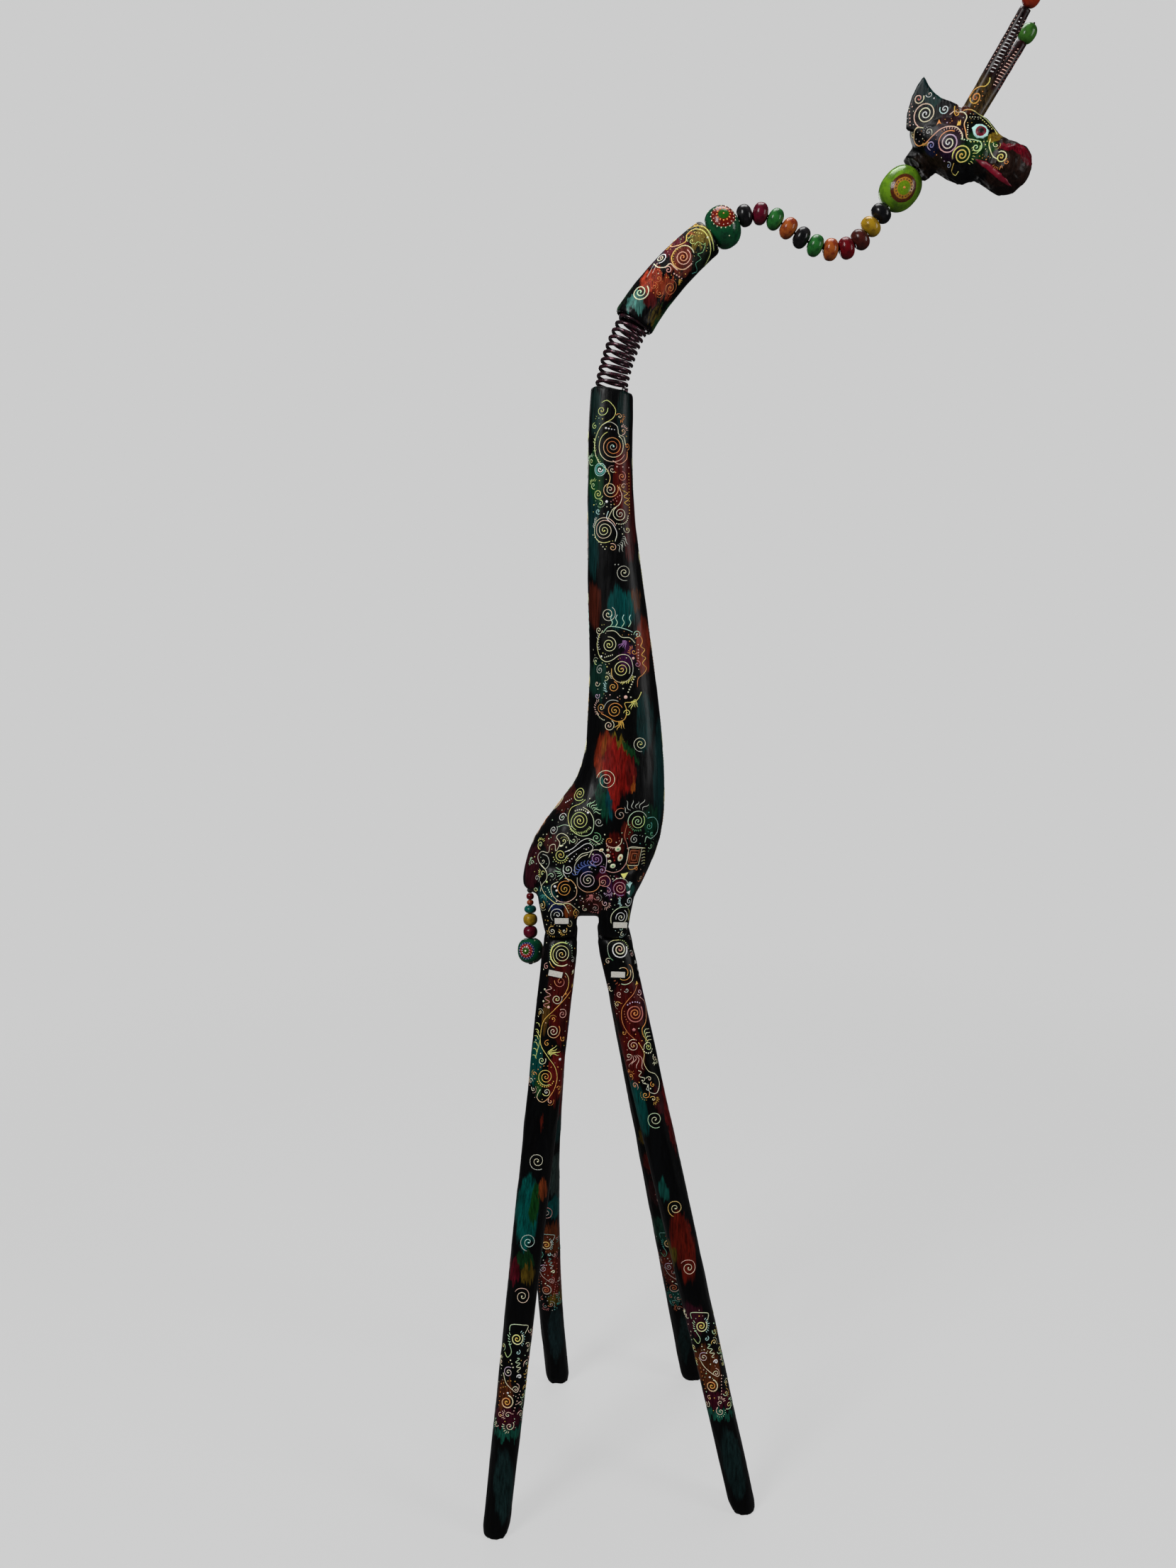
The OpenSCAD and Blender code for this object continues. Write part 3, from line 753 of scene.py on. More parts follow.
    def fill(self, areas, seed, tries, largest=6.0, specks=0.4):
        """Fills bare spots inside ovals with small curls, hairs and dots.
        An oval is its middle (a, b), half width, half height and colours."""
        draw = random.Random(seed)
        for _ in range(tries):
            a0, b0, ra, rb, names = areas[draw.randrange(len(areas))]
            names = names.split()
            turn, share = draw.uniform(0, 2 * math.pi), math.sqrt(draw.random())
            a, b = a0 + ra * share * math.cos(turn), b0 + rb * share * math.sin(turn)
            spin, pick, hairy = draw.choice((-1, 1)), draw.randrange(len(names)), draw.random()
            marks = self.claims[:self.claimed]
            gaps = np.hypot(marks[:, 0] - a, marks[:, 1] - b) - marks[:, 2]
            nearest = int(np.argmin(gaps))
            gap = float(gaps[nearest])
            if gap < LEAST_GAP_MM:
                continue
            hit, normal, _ = self.throw(a, b)
            if hit is None or -normal.dot(self.side[3]) < 0.4:
                continue
            first, second = names[pick], names[(pick + 1) % len(names)]
            if gap < CURL_GAP_MM:
                if hairy < specks:
                    self.dot(a, b, min(0.9, 0.26 * gap), first)
                continue
            r = min(gap - 1.2, largest * (0.6 + 0.4 * draw.random()))
            towards = math.degrees(math.atan2(marks[nearest, 1] - b, marks[nearest, 0] - a))
            self.curl(a, b, r, 2.4, towards, spin, f"{first} {second}", flare=0.2, half=0.45)
            if hairy < 0.45 and r > 3.2:
                self.fringe(a, b, r + 0.8, towards + 120, towards + 215, 6, 4.2, second, wave=0.1, half=0.36)
            elif hairy < 0.75:
                self.dots(a, b, r + 1.6, towards + 120, towards + 250, 7, 0.5, first)

    def finish(self, name, body, slot):
        """Makes one piece of all the paint laid so far."""
        obj = new_object(name, self.verts, self.faces)
        attribute = obj.data.color_attributes.new("paint", "FLOAT_COLOR", "POINT")
        values = np.ones((len(self.verts), 4), np.float32)
        values[:, :3] = np.array(self.colours)
        attribute.data.foreach_set("color", values.ravel())
        outward(obj)
        return give(obj, PAINT, body, slot)


PAINT = raised_paint("raised_paint")

# ---- Torso and lower neck ----

HIP_Z = 720
# Hip and foot of each leg, as x and y.
LEGS = {
    "hind_right": ((-225, -32), (-305, -143)),
    "front_right": ((-161, -32), (3, -103)),
    "hind_left": ((-225, 32), (-236, 151)),
    "front_left": ((-161, 32), (-38, 158)),
}
# How far a leg's middle bows along x.
BOW = {"hind_left": -20}
DOWEL_DEPTH = 45
SOCKET_R = 6.3
PLUG_R = 7.2


def hip_point(leg, down_mm=0.0):
    """A point on a leg's line, some way down from its hip."""
    (hx, hy), (fx, fy) = LEGS[leg]
    hip = Vector((hx, hy, HIP_Z))
    return (hip + (Vector((fx, fy, 0)) - hip).normalized() * down_mm) * MM


def bar(start, end, radius):
    """Rings of a round bar of one radius in millimetres."""
    return rod(start, end, [(0, radius * MM), (1, radius * MM)], sides=32)


# The leg sockets are filled for the remesh and cut again after it, so that their rims stay crisp.
socket_plugs = [bar(hip_point(leg, -1.5), hip_point(leg, -DOWEL_DEPTH - 2), PLUG_R) for leg in LEGS]
body_piece = from_cad("body_wood", "body", voxel_mm=2.3, rounds=6, plugs=socket_plugs)
chipped(body_piece, cell_mm=(21, 95), depth_mm=0.55, seed=3)
for leg in LEGS:
    verts, faces = skin(bar(hip_point(leg, 12), hip_point(leg, -DOWEL_DEPTH - 1), SOCKET_R))
    cutter = outward(new_object("cutter", verts, faces))
    cut = body_piece.modifiers.new("socket", "BOOLEAN")
    cut.operation = "DIFFERENCE"
    cut.solver = "EXACT"
    cut.object = cutter
    baked(body_piece)
    bpy.data.objects.remove(cutter)

TEAL, DEEP_TEAL, DARK_GREEN = (0.002, 0.085, 0.082), (0.006, 0.040, 0.040), (0.006, 0.045, 0.014)
RED, MAROON, FLAME = (0.26, 0.008, 0.005), (0.070, 0.006, 0.006), (0.33, 0.035, 0.009)
ORANGE, OLIVE = (0.34, 0.075, 0.010), (0.17, 0.11, 0.009)
PURPLE, NAVY = (0.050, 0.008, 0.052), (0.008, 0.014, 0.062)

BODY_PATCHES = [
    (-182, 1345, 7, 30, 0, (0.008, 0.030, 0.026), 0),
    (-150, 1340, 8, 34, 0, (0.006, 0.022, 0.020), 0),
    (-184, 1268, 11, 40, 0, (0.006, 0.062, 0.018), -1),
    (-150, 1262, 13, 46, 0, (0.115, 0.007, 0.005), -1),
    (-142, 1215, 8, 40, 0, MAROON, 0),
    (-186, 1205, 7, 50, 0, DEEP_TEAL, 0),
    (-152, 1119, 17, 25, 0, TEAL, -1),
    (-184, 1122, 8, 30, 0, (0.090, 0.016, 0.008), 0),
    (-134, 1131, 6, 15, 0, (0.11, 0.035, 0.010), -1),
    (-125, 1078, 10, 36, 0, (0.27, 0.030, 0.012), -1),
    (-179, 1035, 12, 24, 0, (0.007, 0.040, 0.028), 0),
    (-145, 1064, 9, 14, 0, PURPLE, -1),
    (-124, 982, 11, 34, 0, DEEP_TEAL, 0),
    (-172, 946, 13, 28, 6, FLAME, -1),
    (-155, 929, 19, 33, -14, RED, -1),
    (-161, 897, 8, 19, -8, (0.32, 0.012, 0.008), -1),
    (-141, 922, 7, 16, 0, (0.16, 0.008, 0.006), -1),
    (-148, 954, 4.5, 22, -42, OLIVE, -1),
    (-173, 956, 4, 13, 4, ORANGE, -1),
    (-141, 948, 5, 15, -40, (0.008, 0.060, 0.016), -1),
    (-138, 906, 3, 8, 0, ORANGE, -1),
    (-175, 889, 9, 23, -14, (0.004, 0.068, 0.036), -1),
    (-167, 886, 4.5, 18, -10, (0.002, 0.060, 0.074), -1),
    (-176, 914, 3.5, 8, -10, (0.008, 0.11, 0.09), -1),
    (-219, 889, 9, 18, 42, (0.075, 0.012, 0.009), 0),
    (-260, 806, 9, 28, 8, (0.045, 0.007, 0.012), 0),
    (-236, 838, 9, 12, 20, (0.060, 0.008, 0.008), -1),
    (-105, 925, 8, 66, 0, DEEP_TEAL, 0),
    (-116, 862, 9, 22, 0, (0.006, 0.062, 0.030), -1),
    (-161, 836, 13, 19, 0, (0.095, 0.006, 0.004), -1),
    (-145, 854, 7, 13, 0, (0.11, 0.010, 0.006), -1),
    (-182, 820, 9, 8, 0, PURPLE, -1),
    (-196, 809, 8, 8, 20, NAVY, -1),
    (-175, 796, 9, 9, 0, (0.10, 0.006, 0.022), -1),
    (-153, 785, 10, 14, 0, (0.10, 0.005, 0.022), -1),
    (-165, 784, 4, 15, 0, PURPLE, -1),
    (-241, 774, 13, 13, 0, (0.005, 0.052, 0.058), -1),
    (-230, 762, 12, 9, 0, NAVY, -1),
    (-216, 757, 6, 12, 0, (0.26, 0.05, 0.008), -1),
    (-188, 764, 15, 13, 0, (0.045, 0.009, 0.007), 0),
    (-141, 783, 7, 8, 0, (0.02, 0.11, 0.09), -1),
    (-136, 821, 8, 10, 0, (0.15, 0.028, 0.010), -1),
    (-184, 1300, 11, 34, 0, (0.10, 0.010, 0.006), 1),
    (-152, 1240, 13, 42, 0, TEAL, 1),
    (-180, 1150, 12, 38, 0, DARK_GREEN, 1),
    (-150, 1108, 15, 30, 0, FLAME, 1),
    (-128, 1040, 12, 34, 0, (0.12, 0.09, 0.008), 1),
    (-176, 1010, 12, 30, 0, NAVY, 1),
    (-150, 940, 20, 36, 14, (0.004, 0.075, 0.060), 1),
    (-176, 905, 12, 28, -12, RED, 1),
    (-130, 880, 14, 24, 0, MAROON, 1),
    (-215, 850, 22, 18, 30, (0.006, 0.055, 0.020), 1),
    (-240, 800, 14, 22, 0, (0.10, 0.008, 0.010), 1),
    (-180, 815, 20, 18, 0, PURPLE, 1),
    (-142, 815, 14, 18, 0, (0.15, 0.028, 0.010), 1),
    (-225, 762, 16, 14, 0, TEAL, 1),
    (-158, 762, 14, 14, 0, (0.10, 0.005, 0.022), 1),
]
body_material = painted_wood("body_painted_wood", BODY_PATCHES)
give(body_piece, body_material, "body", "carved_body", "body")


def neck_marks(c):
    """The lower neck's column of curls."""
    c.curl(-176, 1347, 6.5, 1.6, 20, 1, "yellow lime", flare=0.25)
    c.path([(-176, 1356), (-169, 1358), (-160, 1348), (-163, 1338), (-176, 1330), (-183, 1316), (-184, 1302),
            (-179, 1288), (-170, 1280), (-166, 1270), (-170, 1259)], "lime yellow cream gold")
    c.curl(-163, 1306, 14, 3.2, 60, 1, "aqua rust orange cream")
    c.arc(-163, 1306, 17.5, 110, 330, "yellow cream rose")
    c.path([(-176, 1330), (-167, 1334), (-158, 1329), (-156, 1320), (-150, 1317), (-148, 1308)], "grey cream")
    c.curl(-184, 1330, 4, 1.4, 90, -1, "lime")
    c.fringe(-166, 1310, 20, 168, 200, 5, 7, "lime")
    c.row((-171, 1327), (-161, 1325), 4, 1.3, "white", 0.5)
    c.row((-183, 1296), (-168, 1275), 10, 0.8, "lime", 0.3)
    c.curl(-178, 1280, 3.5, 1.5, 0, 1, "white", half=0.8)
    c.arc(-178, 1280, 5.2, 0, 360, "teal", half=0.9)
    c.arc(-178, 1280, 7.2, 0, 360, "aqua")
    c.curl(-146, 1307, 4.5, 1.8, 270, -1, "orange")
    c.path([(-146, 1301), (-147, 1292), (-155, 1286), (-163, 1290)], "orange pink")
    c.row((-158, 1283), (-144, 1283), 3, 1.0, "pink")
    c.curl(-152, 1272, 6, 2, 90, 1, "orange rose")
    c.row((-144, 1276), (-143, 1230), 14, 0.75, "gold")
    c.curl(-166, 1257, 10, 2.6, 30, 1, "pink cream orange")
    c.path([(-156, 1260), (-152, 1250), (-155, 1240), (-163, 1234), (-168, 1224)], "pink cream")
    c.curl(-180, 1252, 6.5, 2, 340, 1, "yellow lime")
    c.dot(-170, 1243, 1.8, "white")
    c.row((-165, 1243), (-152, 1252), 6, 0.8, "rose")
    c.path([(-150, 1255), (-145, 1253), (-150, 1249), (-144, 1246), (-149, 1242), (-144, 1239)], "gold")
    c.curl(-154, 1229, 9, 2.6, 120, -1, "grey cream")
    c.curl(-180, 1232, 3.5, 1.5, 300, 1, "aqua")
    c.path([(-168, 1232), (-170, 1224), (-163, 1217), (-158, 1207), (-160, 1197)], "aqua white cream")
    c.curl(-173, 1210, 12, 3, 40, -1, "yellow cream pink")
    c.arc(-173, 1210, 14.5, 20, 300, "pink cream yellow")
    c.fringe(-173, 1210, 15, 130, 165, 5, 6, "grey")
    c.fringe(-165, 1206, 15, 300, 345, 6, 11, "grey")
    c.curl(-163, 1190, 5, 2, 120, 1, "gold pink")
    c.row((-186, 1205), (-172, 1188), 7, 0.8, "cream")
    c.dots(-154, 1229, 12, 250, 350, 9, 0.8, "cream")
    c.curl(-149, 1161, 10, 2.1, 290, 1, "cream grey", half=0.4)
    c.row((-160, 1170), (-156, 1170), 2, 0.8, "grey")
    c.curl(-168, 1112, 9.5, 2.1, 60, 1, "cream grey")
    c.curl(-179, 1093, 5.2, 1.9, 0, 1, "cream")
    c.path([(-174, 1090), (-168, 1097), (-158, 1097), (-146, 1094), (-139, 1091)], "mint aqua")
    c.curl(-133, 1088, 5, 1.8, 180, 1, "aqua mint")
    for x in (-166, -160, -152, -144):
        c.path([(x, 1097), (x + 3, 1102), (x + 1, 1107), (x + 3, 1112)], "mint aqua")
    c.curl(-167, 1076, 9.5, 2.6, 100, 1, "yellow cream")
    c.path([(-178, 1088), (-181, 1076), (-178, 1062), (-171, 1056), (-163, 1058), (-154, 1064), (-144, 1063),
            (-139, 1054), (-139, 1042), (-146, 1033), (-156, 1032), (-163, 1038), (-164, 1048)],
           "yellow cream grey gold")
    c.path([(-170, 1092), (-160, 1092), (-152, 1085), (-142, 1084), (-136, 1078)], "cream")
    c.fringe(-168, 1078, 13, 150, 210, 6, 6, "grey")
    c.fringe(-150, 1083, 2, 240, 300, 6, 11, "purple")
    c.path([(-136, 1083), (-130, 1086), (-127, 1080), (-129, 1074), (-124, 1070), (-128, 1064), (-123, 1060),
            (-127, 1054), (-122, 1048), (-126, 1041), (-132, 1036), (-133, 1026)], "orange gold rust")
    c.curl(-133, 1053, 4.5, 2, 100, 1, "purple rose")
    c.dot(-138, 1060, 1.8, "pink")
    c.row((-132, 1070), (-132, 1060), 4, 0.9, "pink")
    c.dot(-176, 1062, 1.5, "white")
    c.row((-172, 1061), (-163, 1064), 5, 0.8, "cream")
    c.curl(-152, 1047, 10.5, 3.4, 330, -1, "gold yellow cream")
    c.fringe(-150, 1045, 12, 260, 330, 9, 4.5, "yellow")
    c.curl(-178, 1046, 6, 1.7, 60, -1, "grey")
    c.curl(-162, 1026, 6.5, 2.3, 80, 1, "gold orange")
    c.fringe(-163, 1026, 8, 150, 215, 6, 5, "aqua")
    c.row((-136, 1038), (-144, 1020), 7, 1.0, "cream")
    c.dot(-147, 1014, 2.4, "pink")
    c.curl(-181, 1015, 4, 1.6, 30, 1, "lilac")
    c.curl(-176, 1001, 6, 2.3, 300, 1, "white gold rust")
    c.fringe(-177, 1001, 7.5, 110, 250, 9, 4, "pink")
    c.curl(-160, 998, 9.5, 2.6, 20, -1, "gold orange")
    c.arc(-162, 998, 12.5, 60, 170, "grey")
    c.path([(-176, 994), (-168, 990), (-158, 985), (-148, 988), (-146, 999), (-148, 1007), (-138, 1008),
            (-132, 1012), (-128, 1020)], "orange gold yellow")
    c.fringe(-140, 1012, 3, 260, 330, 6, 10, "yellow")
    c.fringe(-155, 986, 2, 250, 330, 6, 10, "gold")
    c.curl(-145, 995, 4.5, 1.8, 180, 1, "yellow")
    c.curl(-167, 980, 7, 1.9, 60, 1, "pink cream")
    c.dots(-170, 1000, 14, 200, 260, 8, 0.8, "cream")


def torso_marks(c):
    """Curls, rings, hairs and dots over the torso."""
    c.curl(-129, 958, 9.5, 2.1, 280, 1, "yellow cream grey", half=0.4)
    c.curl(-170, 915, 12.5, 2.4, 170, 1, "pink cream", half=0.4)
    c.curl(-202, 897, 9.5, 2.4, 320, 1, "yellow lime")
    c.path([(-195, 891), (-201, 886), (-212, 880), (-216, 868), (-212, 855), (-200, 848), (-188, 852),
            (-185, 866), (-190, 877), (-198, 882)], "lime yellow mint cream")
    c.curl(-202, 866, 12, 3.6, 250, 1, "yellow lime")
    c.dots(-202, 866, 13.6, 120, 60, 6, 0.9, "cream")
    c.dot(-192, 876, 1.6, "white")
    c.fringe(-202, 866, 13.5, 225, 330, 14, 3.4, "lime", wave=0.1)
    c.fringe(-194, 874, 9, 10, 80, 6, 11, "mint")
    c.curl(-223, 868, 6, 2, 20, -1, "mint white")
    c.path([(-210, 858), (-220, 860), (-228, 857)], "grey mint")
    c.curl(-234, 853, 6.5, 2.1, 50, 1, "white grey")
    c.row((-219, 885), (-212, 890), 4, 1.2, "white", 0.5)
    c.curl(-179, 865, 5.5, 1.9, 330, 1, "grey")
    c.curl(-153, 874, 8, 1.5, 60, -1, "grey rust")
    c.fringe(-134, 868, 13, 50, 140, 6, 13, "grey")
    c.curl(-132, 865, 9.5, 3, 40, 1, "mint lime")
    c.arc(-132, 865, 12.5, 20, 200, "grey mint")
    c.fringe(-132, 865, 10.2, 200, 290, 8, 3, "green", wave=0.05)
    c.path([(-120, 868), (-112, 868), (-107, 860), (-108, 848), (-115, 842), (-121, 845), (-123, 838)],
           "teal aqua mint")
    c.curl(-118, 858, 5, 1.9, 60, 1, "green teal")
    c.curl(-136, 843, 6, 1.9, 50, -1, "grey")
    c.path([(-145, 862), (-148, 848), (-145, 838), (-143, 825), (-146, 814), (-152, 806), (-162, 803),
            (-171, 806)], "rust rose pink")
    c.path([(-145, 832), (-138, 834), (-124, 831)], "grey cream")
    for size in (9.0, 6.2, 3.4):
        c.square(-136, 821, size, size * 1.25, -6, "cream" if size == 9.0 else "rust")
    c.path([(-144, 812), (-142, 806), (-135, 806), (-132, 809)], "gold orange")
    c.curl(-133, 806, 3.6, 1.8, 100, -1, "orange rust")
    for z in (830, 826, 822, 818, 814, 810):
        c.path([(-127, z), (-124, z + 1.0), (-122, z)], "grey yellow")
    c.shape(-147, 799, [(-6, 3), (5, 5), (-2, -6)], "yellow")
    c.curl(-141, 790, 3, 1.5, 0, 1, "aqua")
    c.shape(-142, 786, [(-4, 3), (4, 5), (1, -4)], "aqua")
    c.shape(-143, 777, [(-3, 2), (3, 4), (2, -3)], "white")
    c.path([(-178, 838), (-190, 845), (-200, 842), (-210, 833), (-220, 828)], "cream white")
    c.curl(-182, 846, 6.5, 2.2, 110, 1, "mint green")
    c.fringe(-182, 846, 7.3, 200, 350, 10, 2.8, "mint", wave=0.05)
    c.path([(-170, 840), (-168, 836), (-160, 834), (-153, 838), (-151, 845)], "pink cream")
    c.curl(-166, 842, 4.4, 1.7, 200, 1, "rust orange")
    c.fringe(-162, 842, 8, 220, 320, 7, 2.6, "pink", wave=0.05)
    for x, z, rx, ry, tilt in (
        (-156, 832, 4.2, 3.6, 20), (-153, 821, 3.4, 5.2, -20), (-162, 811, 3.8, 3.2, 10),
        (-176, 831, 3.2, 2.2, 20), (-168, 831, 1.8, 1.7, 0), (-168, 824, 3.0, 2.4, 0),
        (-166, 817, 2.4, 2.1, 0),
    ):
        c.blob(x, z, rx, ry, tilt, "cream", "green" if rx > 3.5 else "rust")
    c.row((-162, 826), (-160, 818), 3, 1.0, "red")
    c.curl(-225, 824, 8, 3.2, 0, 1, "gold yellow lime")
    c.dots(-225, 824, 9.8, 200, 340, 9, 0.8, "yellow")
    c.blob(-225, 835, 2.4, 1.3, 0, "cream")
    c.dots(-225, 824, 12, 30, 80, 3, 1.1, "cream")
    c.curl(-216, 807, 6.5, 2.3, 150, -1, "mint white")
    c.path([(-221, 812), (-222, 804), (-218, 796), (-214, 792)], "mint white")
    c.fringe(-219, 806, 6, 170, 240, 5, 9, "mint", wave=0.08)
    c.path([(-219, 821), (-212, 827), (-203, 833), (-196, 838), (-190, 839), (-186, 834), (-190, 829),
            (-200, 826), (-207, 818)], "white cream")
    c.row((-214, 817), (-206, 826), 4, 1.2, "white", 0.5)
    c.curl(-182, 820, 8.5, 2.2, 200, -1, "purple lilac")
    c.path([(-191, 822), (-186, 831), (-176, 830), (-170, 822), (-170, 812), (-172, 803)], "cream lilac")
    c.curl(-175, 806, 5.4, 2, 120, 1, "lilac purple")
    c.curl(-192, 794, 11, 3.2, 60, -1, "cream lilac")
    c.path([(-207, 800), (-208, 812), (-201, 822), (-192, 826)], "grey cream")
    for step in range(9):
        angle = math.radians(165 - step * 12)
        x, z = -190 + 15.5 * math.cos(angle), 797 + 15.5 * math.sin(angle)
        c.path([(x, z), (x + 4.2 * math.cos(angle + 0.5), z + 4.2 * math.sin(angle + 0.5)),
                (x + 6.2 * math.cos(angle), z + 6.2 * math.sin(angle))], "blue")
    c.arc(-190, 797, 15.5, 60, 168, "blue")
    c.dot(-190, 810, 1.3, "white")
    c.path([(-205, 797), (-204, 786), (-195, 779), (-184, 780), (-178, 787), (-178, 796), (-170, 799),
            (-165, 793), (-168, 786), (-175, 786)], "grey orange pink rose")
    c.curl(-174, 791, 5, 1.7, 210, -1, "pink rose")
    c.curl(-220, 783, 10, 3.2, 60, -1, "gold orange")
    c.path([(-228, 792), (-236, 787), (-235, 776), (-227, 768), (-216, 767), (-207, 773), (-206, 784),
            (-212, 793), (-220, 796)], "cream pink gold")
    c.dot(-232, 786, 1.8, "white")
    c.dot(-230, 781, 1.6, "white")
    c.dot(-229, 774, 1.4, "cream")
    c.curl(-153, 784, 9.5, 2.9, 300, 1, "rose pink purple")
    c.arc(-153, 784, 12, 20, 140, "grey")
    c.row((-162, 795), (-148, 797), 4, 1.0, "cream")
    c.fringe(-190, 778, 3, 255, 300, 6, 11, "rose")
    c.curl(-142, 767, 6.5, 2.6, 200, -1, "aqua white")
    c.fringe(-146, 768, 7, 150, 220, 7, 4.5, "aqua", wave=0.05)
    c.curl(-152, 748, 9.5, 2.5, 60, 1, "cream white")
    c.path([(-143, 760), (-154, 760), (-163, 752), (-164, 742), (-160, 734)], "mint cream")
    c.arc(-150, 748, 12, 330, 400, "yellow")
    c.curl(-229, 751, 10.5, 2.4, 350, 1, "white grey")
    c.path([(-215, 752), (-222, 764), (-234, 764), (-240, 755)], "cream")
    c.path([(-250, 790), (-247, 780), (-240, 772), (-228, 764), (-216, 765), (-208, 758), (-203, 750),
            (-208, 745)], "grey yellow cream orange")
    c.curl(-207, 751, 5, 1.9, 80, -1, "orange gold")
    c.path([(-247, 823), (-241, 821), (-239, 813), (-244, 806), (-251, 812), (-253, 820), (-248, 826),
            (-240, 826), (-238, 834), (-232, 836), (-231, 828), (-226, 838), (-230, 845), (-224, 850),
            (-216, 846), (-214, 838)], "grey cream")
    c.path([(-251, 812), (-243, 804), (-242, 795), (-248, 786), (-250, 778)], "cream")
    c.curl(-254, 793, 4.6, 1.8, 300, -1, "grey")
    c.fringe(-246, 778, 3, 230, 300, 5, 8, "teal")
    c.dot(-242, 791, 1.5, "lime")
    c.row((-241, 784), (-236, 774), 5, 0.9, "mint")
    for x, z in (
        (-207, 784), (-206, 768), (-199, 770), (-214, 764), (-198, 760),
        (-186, 826), (-230, 768), (-236, 762), (-203, 758), (-160, 777),
        (-164, 770), (-176, 780), (-194, 832), (-172, 850), (-189, 858),
    ):
        c.dot(x, z, 1.0, "cream")


# The left side has the right side's marks in other colours.
SWAPPED = {
    "yellow": "aqua", "lime": "mint", "gold": "orange", "orange": "gold", "pink": "cream", "cream": "pink",
    "aqua": "yellow", "mint": "lime", "rose": "teal", "purple": "blue", "blue": "purple", "rust": "green",
}

BODY_AREAS = [
    (-177, 1285, 12, 62, "lime yellow mint"),
    (-158, 1290, 14, 56, "orange gold pink cream"),
    (-166, 1222, 22, 38, "cream yellow grey"),
    (-172, 1070, 14, 34, "yellow cream lime"),
    (-142, 1062, 16, 34, "gold orange cream"),
    (-160, 1015, 24, 36, "orange yellow pink cream"),
    (-204, 868, 26, 30, "lime cream mint white"),
    (-128, 850, 24, 30, "mint grey teal green"),
    (-236, 822, 26, 44, "cream grey mint yellow"),
    (-192, 822, 36, 34, "white cream lilac mint"),
    (-150, 812, 30, 34, "cream rust pink grey"),
    (-218, 776, 38, 28, "cream gold mint pink"),
    (-178, 778, 34, 24, "rose lilac pink grey"),
    (-226, 744, 18, 20, "cream white gold"),
    (-150, 748, 15, 24, "aqua cream mint"),
]
FRONT_CURLS = (
    (1290, 8, "cream"), (1180, 9, "yellow"), (1075, 9, "orange"), (960, 10, "mint"), (890, 12, "gold"),
    (820, 11, "pink"),
)
BACK_CURLS = (
    (1320, 7, "lime"), (1225, 8, "pink"), (1130, 8, "aqua"), (1030, 9, "gold"), (950, 10, "cream"),
    (880, 11, "orange"),
)
body_canvas = Canvas(body_piece)
for side, swap, seed in ((RIGHT_SIDE, {}, 5), (LEFT_SIDE, SWAPPED, 6)):
    body_canvas.face(side, swap)
    neck_marks(body_canvas)
    torso_marks(body_canvas)
    body_canvas.fill(BODY_AREAS, seed, tries=5000)
body_canvas.face(FRONT_SIDE)
for z, r, colour in FRONT_CURLS:
    body_canvas.curl(0, z, r, 2.6, 270, 1, f"{colour} cream")
    body_canvas.row((0, z - r - 6), (0, z - r - 24), 6, 1.1, colour, 0.5)
    body_canvas.row((0, z + r + 6), (0, z + r + 18), 4, 0.9, "grey", 0.5)
body_canvas.face(BACK_SIDE)
for z, r, colour in BACK_CURLS:
    body_canvas.curl(0, z, r, 2.4, 90, -1, f"{colour} cream")
    body_canvas.serpent((0, z - r - 5), (0, z - r - 40), 3.5, 3, f"{colour} grey")
body_canvas.finish("body_paint_lines", "body", "carved_body")

# ---- Legs ----

